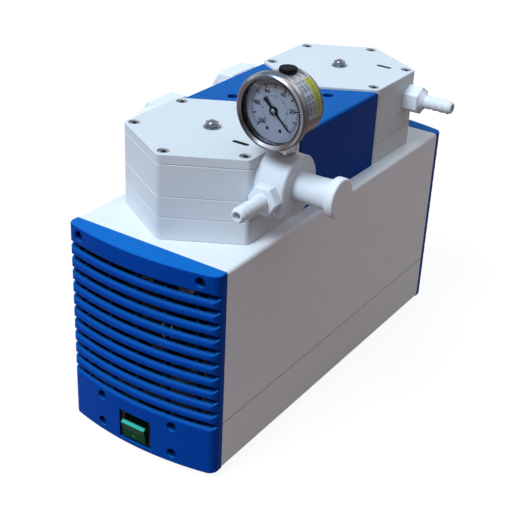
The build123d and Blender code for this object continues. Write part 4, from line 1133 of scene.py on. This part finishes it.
def paper_floor():
    """White paper that the pump stands on. It keeps only the pump's shadow."""
    shape = bmesh.new()
    turns = [math.tau * step / 64 for step in range(64)]
    rim = [(floor_reach * math.cos(turn), floor_reach * math.sin(turn), floor_level) for turn in turns]
    shape.faces.new([shape.verts.new(place) for place in rim])
    mesh = mesh_of("paper_floor", shape)
    floor = bpy.data.objects.new("paper_floor", mesh)
    bpy.context.scene.collection.objects.link(floor)
    paper = Finish("paper_floor", roughness=0.9, specular_ior_level=0.1)
    fibre = paper.noise(300.0, 3.0)
    paper.feed("Base Color", paper.mixed(fibre, (0.125, 0.09, 0.08, 1.0), (0.135, 0.10, 0.09, 1.0)))
    paper.shader.inputs["Emission Strength"].default_value = 1.0
    seen = seen_directly(paper)
    paper.feed("Emission Color", paper.mixed(seen, (0, 0, 0, 1), (0.90, 0.92, 0.93, 1.0)))
    mesh.materials.append(paper.material)


def seen_directly(net):
    """1 for rays of the camera, of gloss and of glass, 0 for those that only carry light."""
    camera = net.node("ShaderNodeLightPath", None, None, 0)
    gloss = net.node("ShaderNodeLightPath", None, None, 3)
    glass = net.node("ShaderNodeLightPath", None, None, 6)
    return (camera + gloss + glass).held()


def studio_world():
    """Plain white to look at, and a cool sky over a warm horizon for light."""
    world = bpy.data.worlds.new("studio")
    bpy.context.scene.world = world
    world.use_nodes = True
    net = Net(world.node_tree)
    net.tree.nodes.clear()
    white = net.node("ShaderNodeBackground", None, {0: (1, 1, 1, 1), 1: 1.0})
    towards = net.node("ShaderNodeTexCoord", None, None, 0)
    height = net.node("ShaderNodeSeparateXYZ", None, {0: towards}, 2).above(0.3, 1.0)
    colours = {0: height, 6: (0.20, 0.115, 0.10, 1), 7: (0.60, 0.72, 0.80, 1)}
    sky = net.node("ShaderNodeMix", {"data_type": "RGBA"}, colours, 2)
    soft = net.node("ShaderNodeBackground", None, {0: sky, 1: 1.0})
    both = net.node("ShaderNodeMixShader", None, {0: seen_directly(net), 1: soft, 2: white})
    net.node("ShaderNodeOutputWorld", None, {0: both})


def sun(name, towards, strength, spread, colour):
    """A sun lamp that shines from the direction towards."""
    lamp = bpy.data.lights.new(name, "SUN")
    lamp.energy = strength
    lamp.angle = math.radians(spread)
    lamp.color = colour
    holder = bpy.data.objects.new(name, lamp)
    holder.rotation_euler = Vector(towards).to_track_quat("Z", "Y").to_euler()
    bpy.context.scene.collection.objects.link(holder)


def photo_camera():
    """The camera that took the photo, worked out from the housing's straight edges."""
    azimuth = math.radians(32.53)
    elevation = math.radians(28.51)
    roll = math.radians(2.83)
    level_reach = math.cos(elevation)
    ahead = Vector((-math.sin(azimuth) * level_reach, math.cos(azimuth) * level_reach, -math.sin(elevation)))
    level = Vector((math.cos(azimuth), math.sin(azimuth), 0))
    upright = level.cross(ahead)
    right = level * math.cos(roll) + upright * math.sin(roll)
    up = upright * math.cos(roll) - level * math.sin(roll)
    eye = (0.4585, -0.7352, 0.5612)
    lens = bpy.data.cameras.new("photo_camera")
    lens.lens = 75.67
    lens.sensor_width = 36
    lens.clip_end = 20
    holder = bpy.data.objects.new("photo_camera", lens)
    turn = Matrix((right, up, -ahead)).transposed().to_4x4()
    holder.matrix_world = Matrix.Translation(eye) @ turn
    bpy.context.scene.collection.objects.link(holder)
    bpy.context.scene.camera = holder


round_white_edges()
dress_screws()
dial_ticks()
dial_numbers()
dial_metal()
case_label()
liquid_line()
switch_marks()
lid_marks()

paper_floor()
studio_world()
sun("key", (-0.13, -0.40, 0.53), 2.80, 27, (0.86, 1.0, 1.12))
sun("fill", (0.5, 0.75, 0.45), 0.14, 40, (1.0, 0.96, 0.92))
photo_camera()
bpy.context.scene.view_settings.view_transform = "Standard"
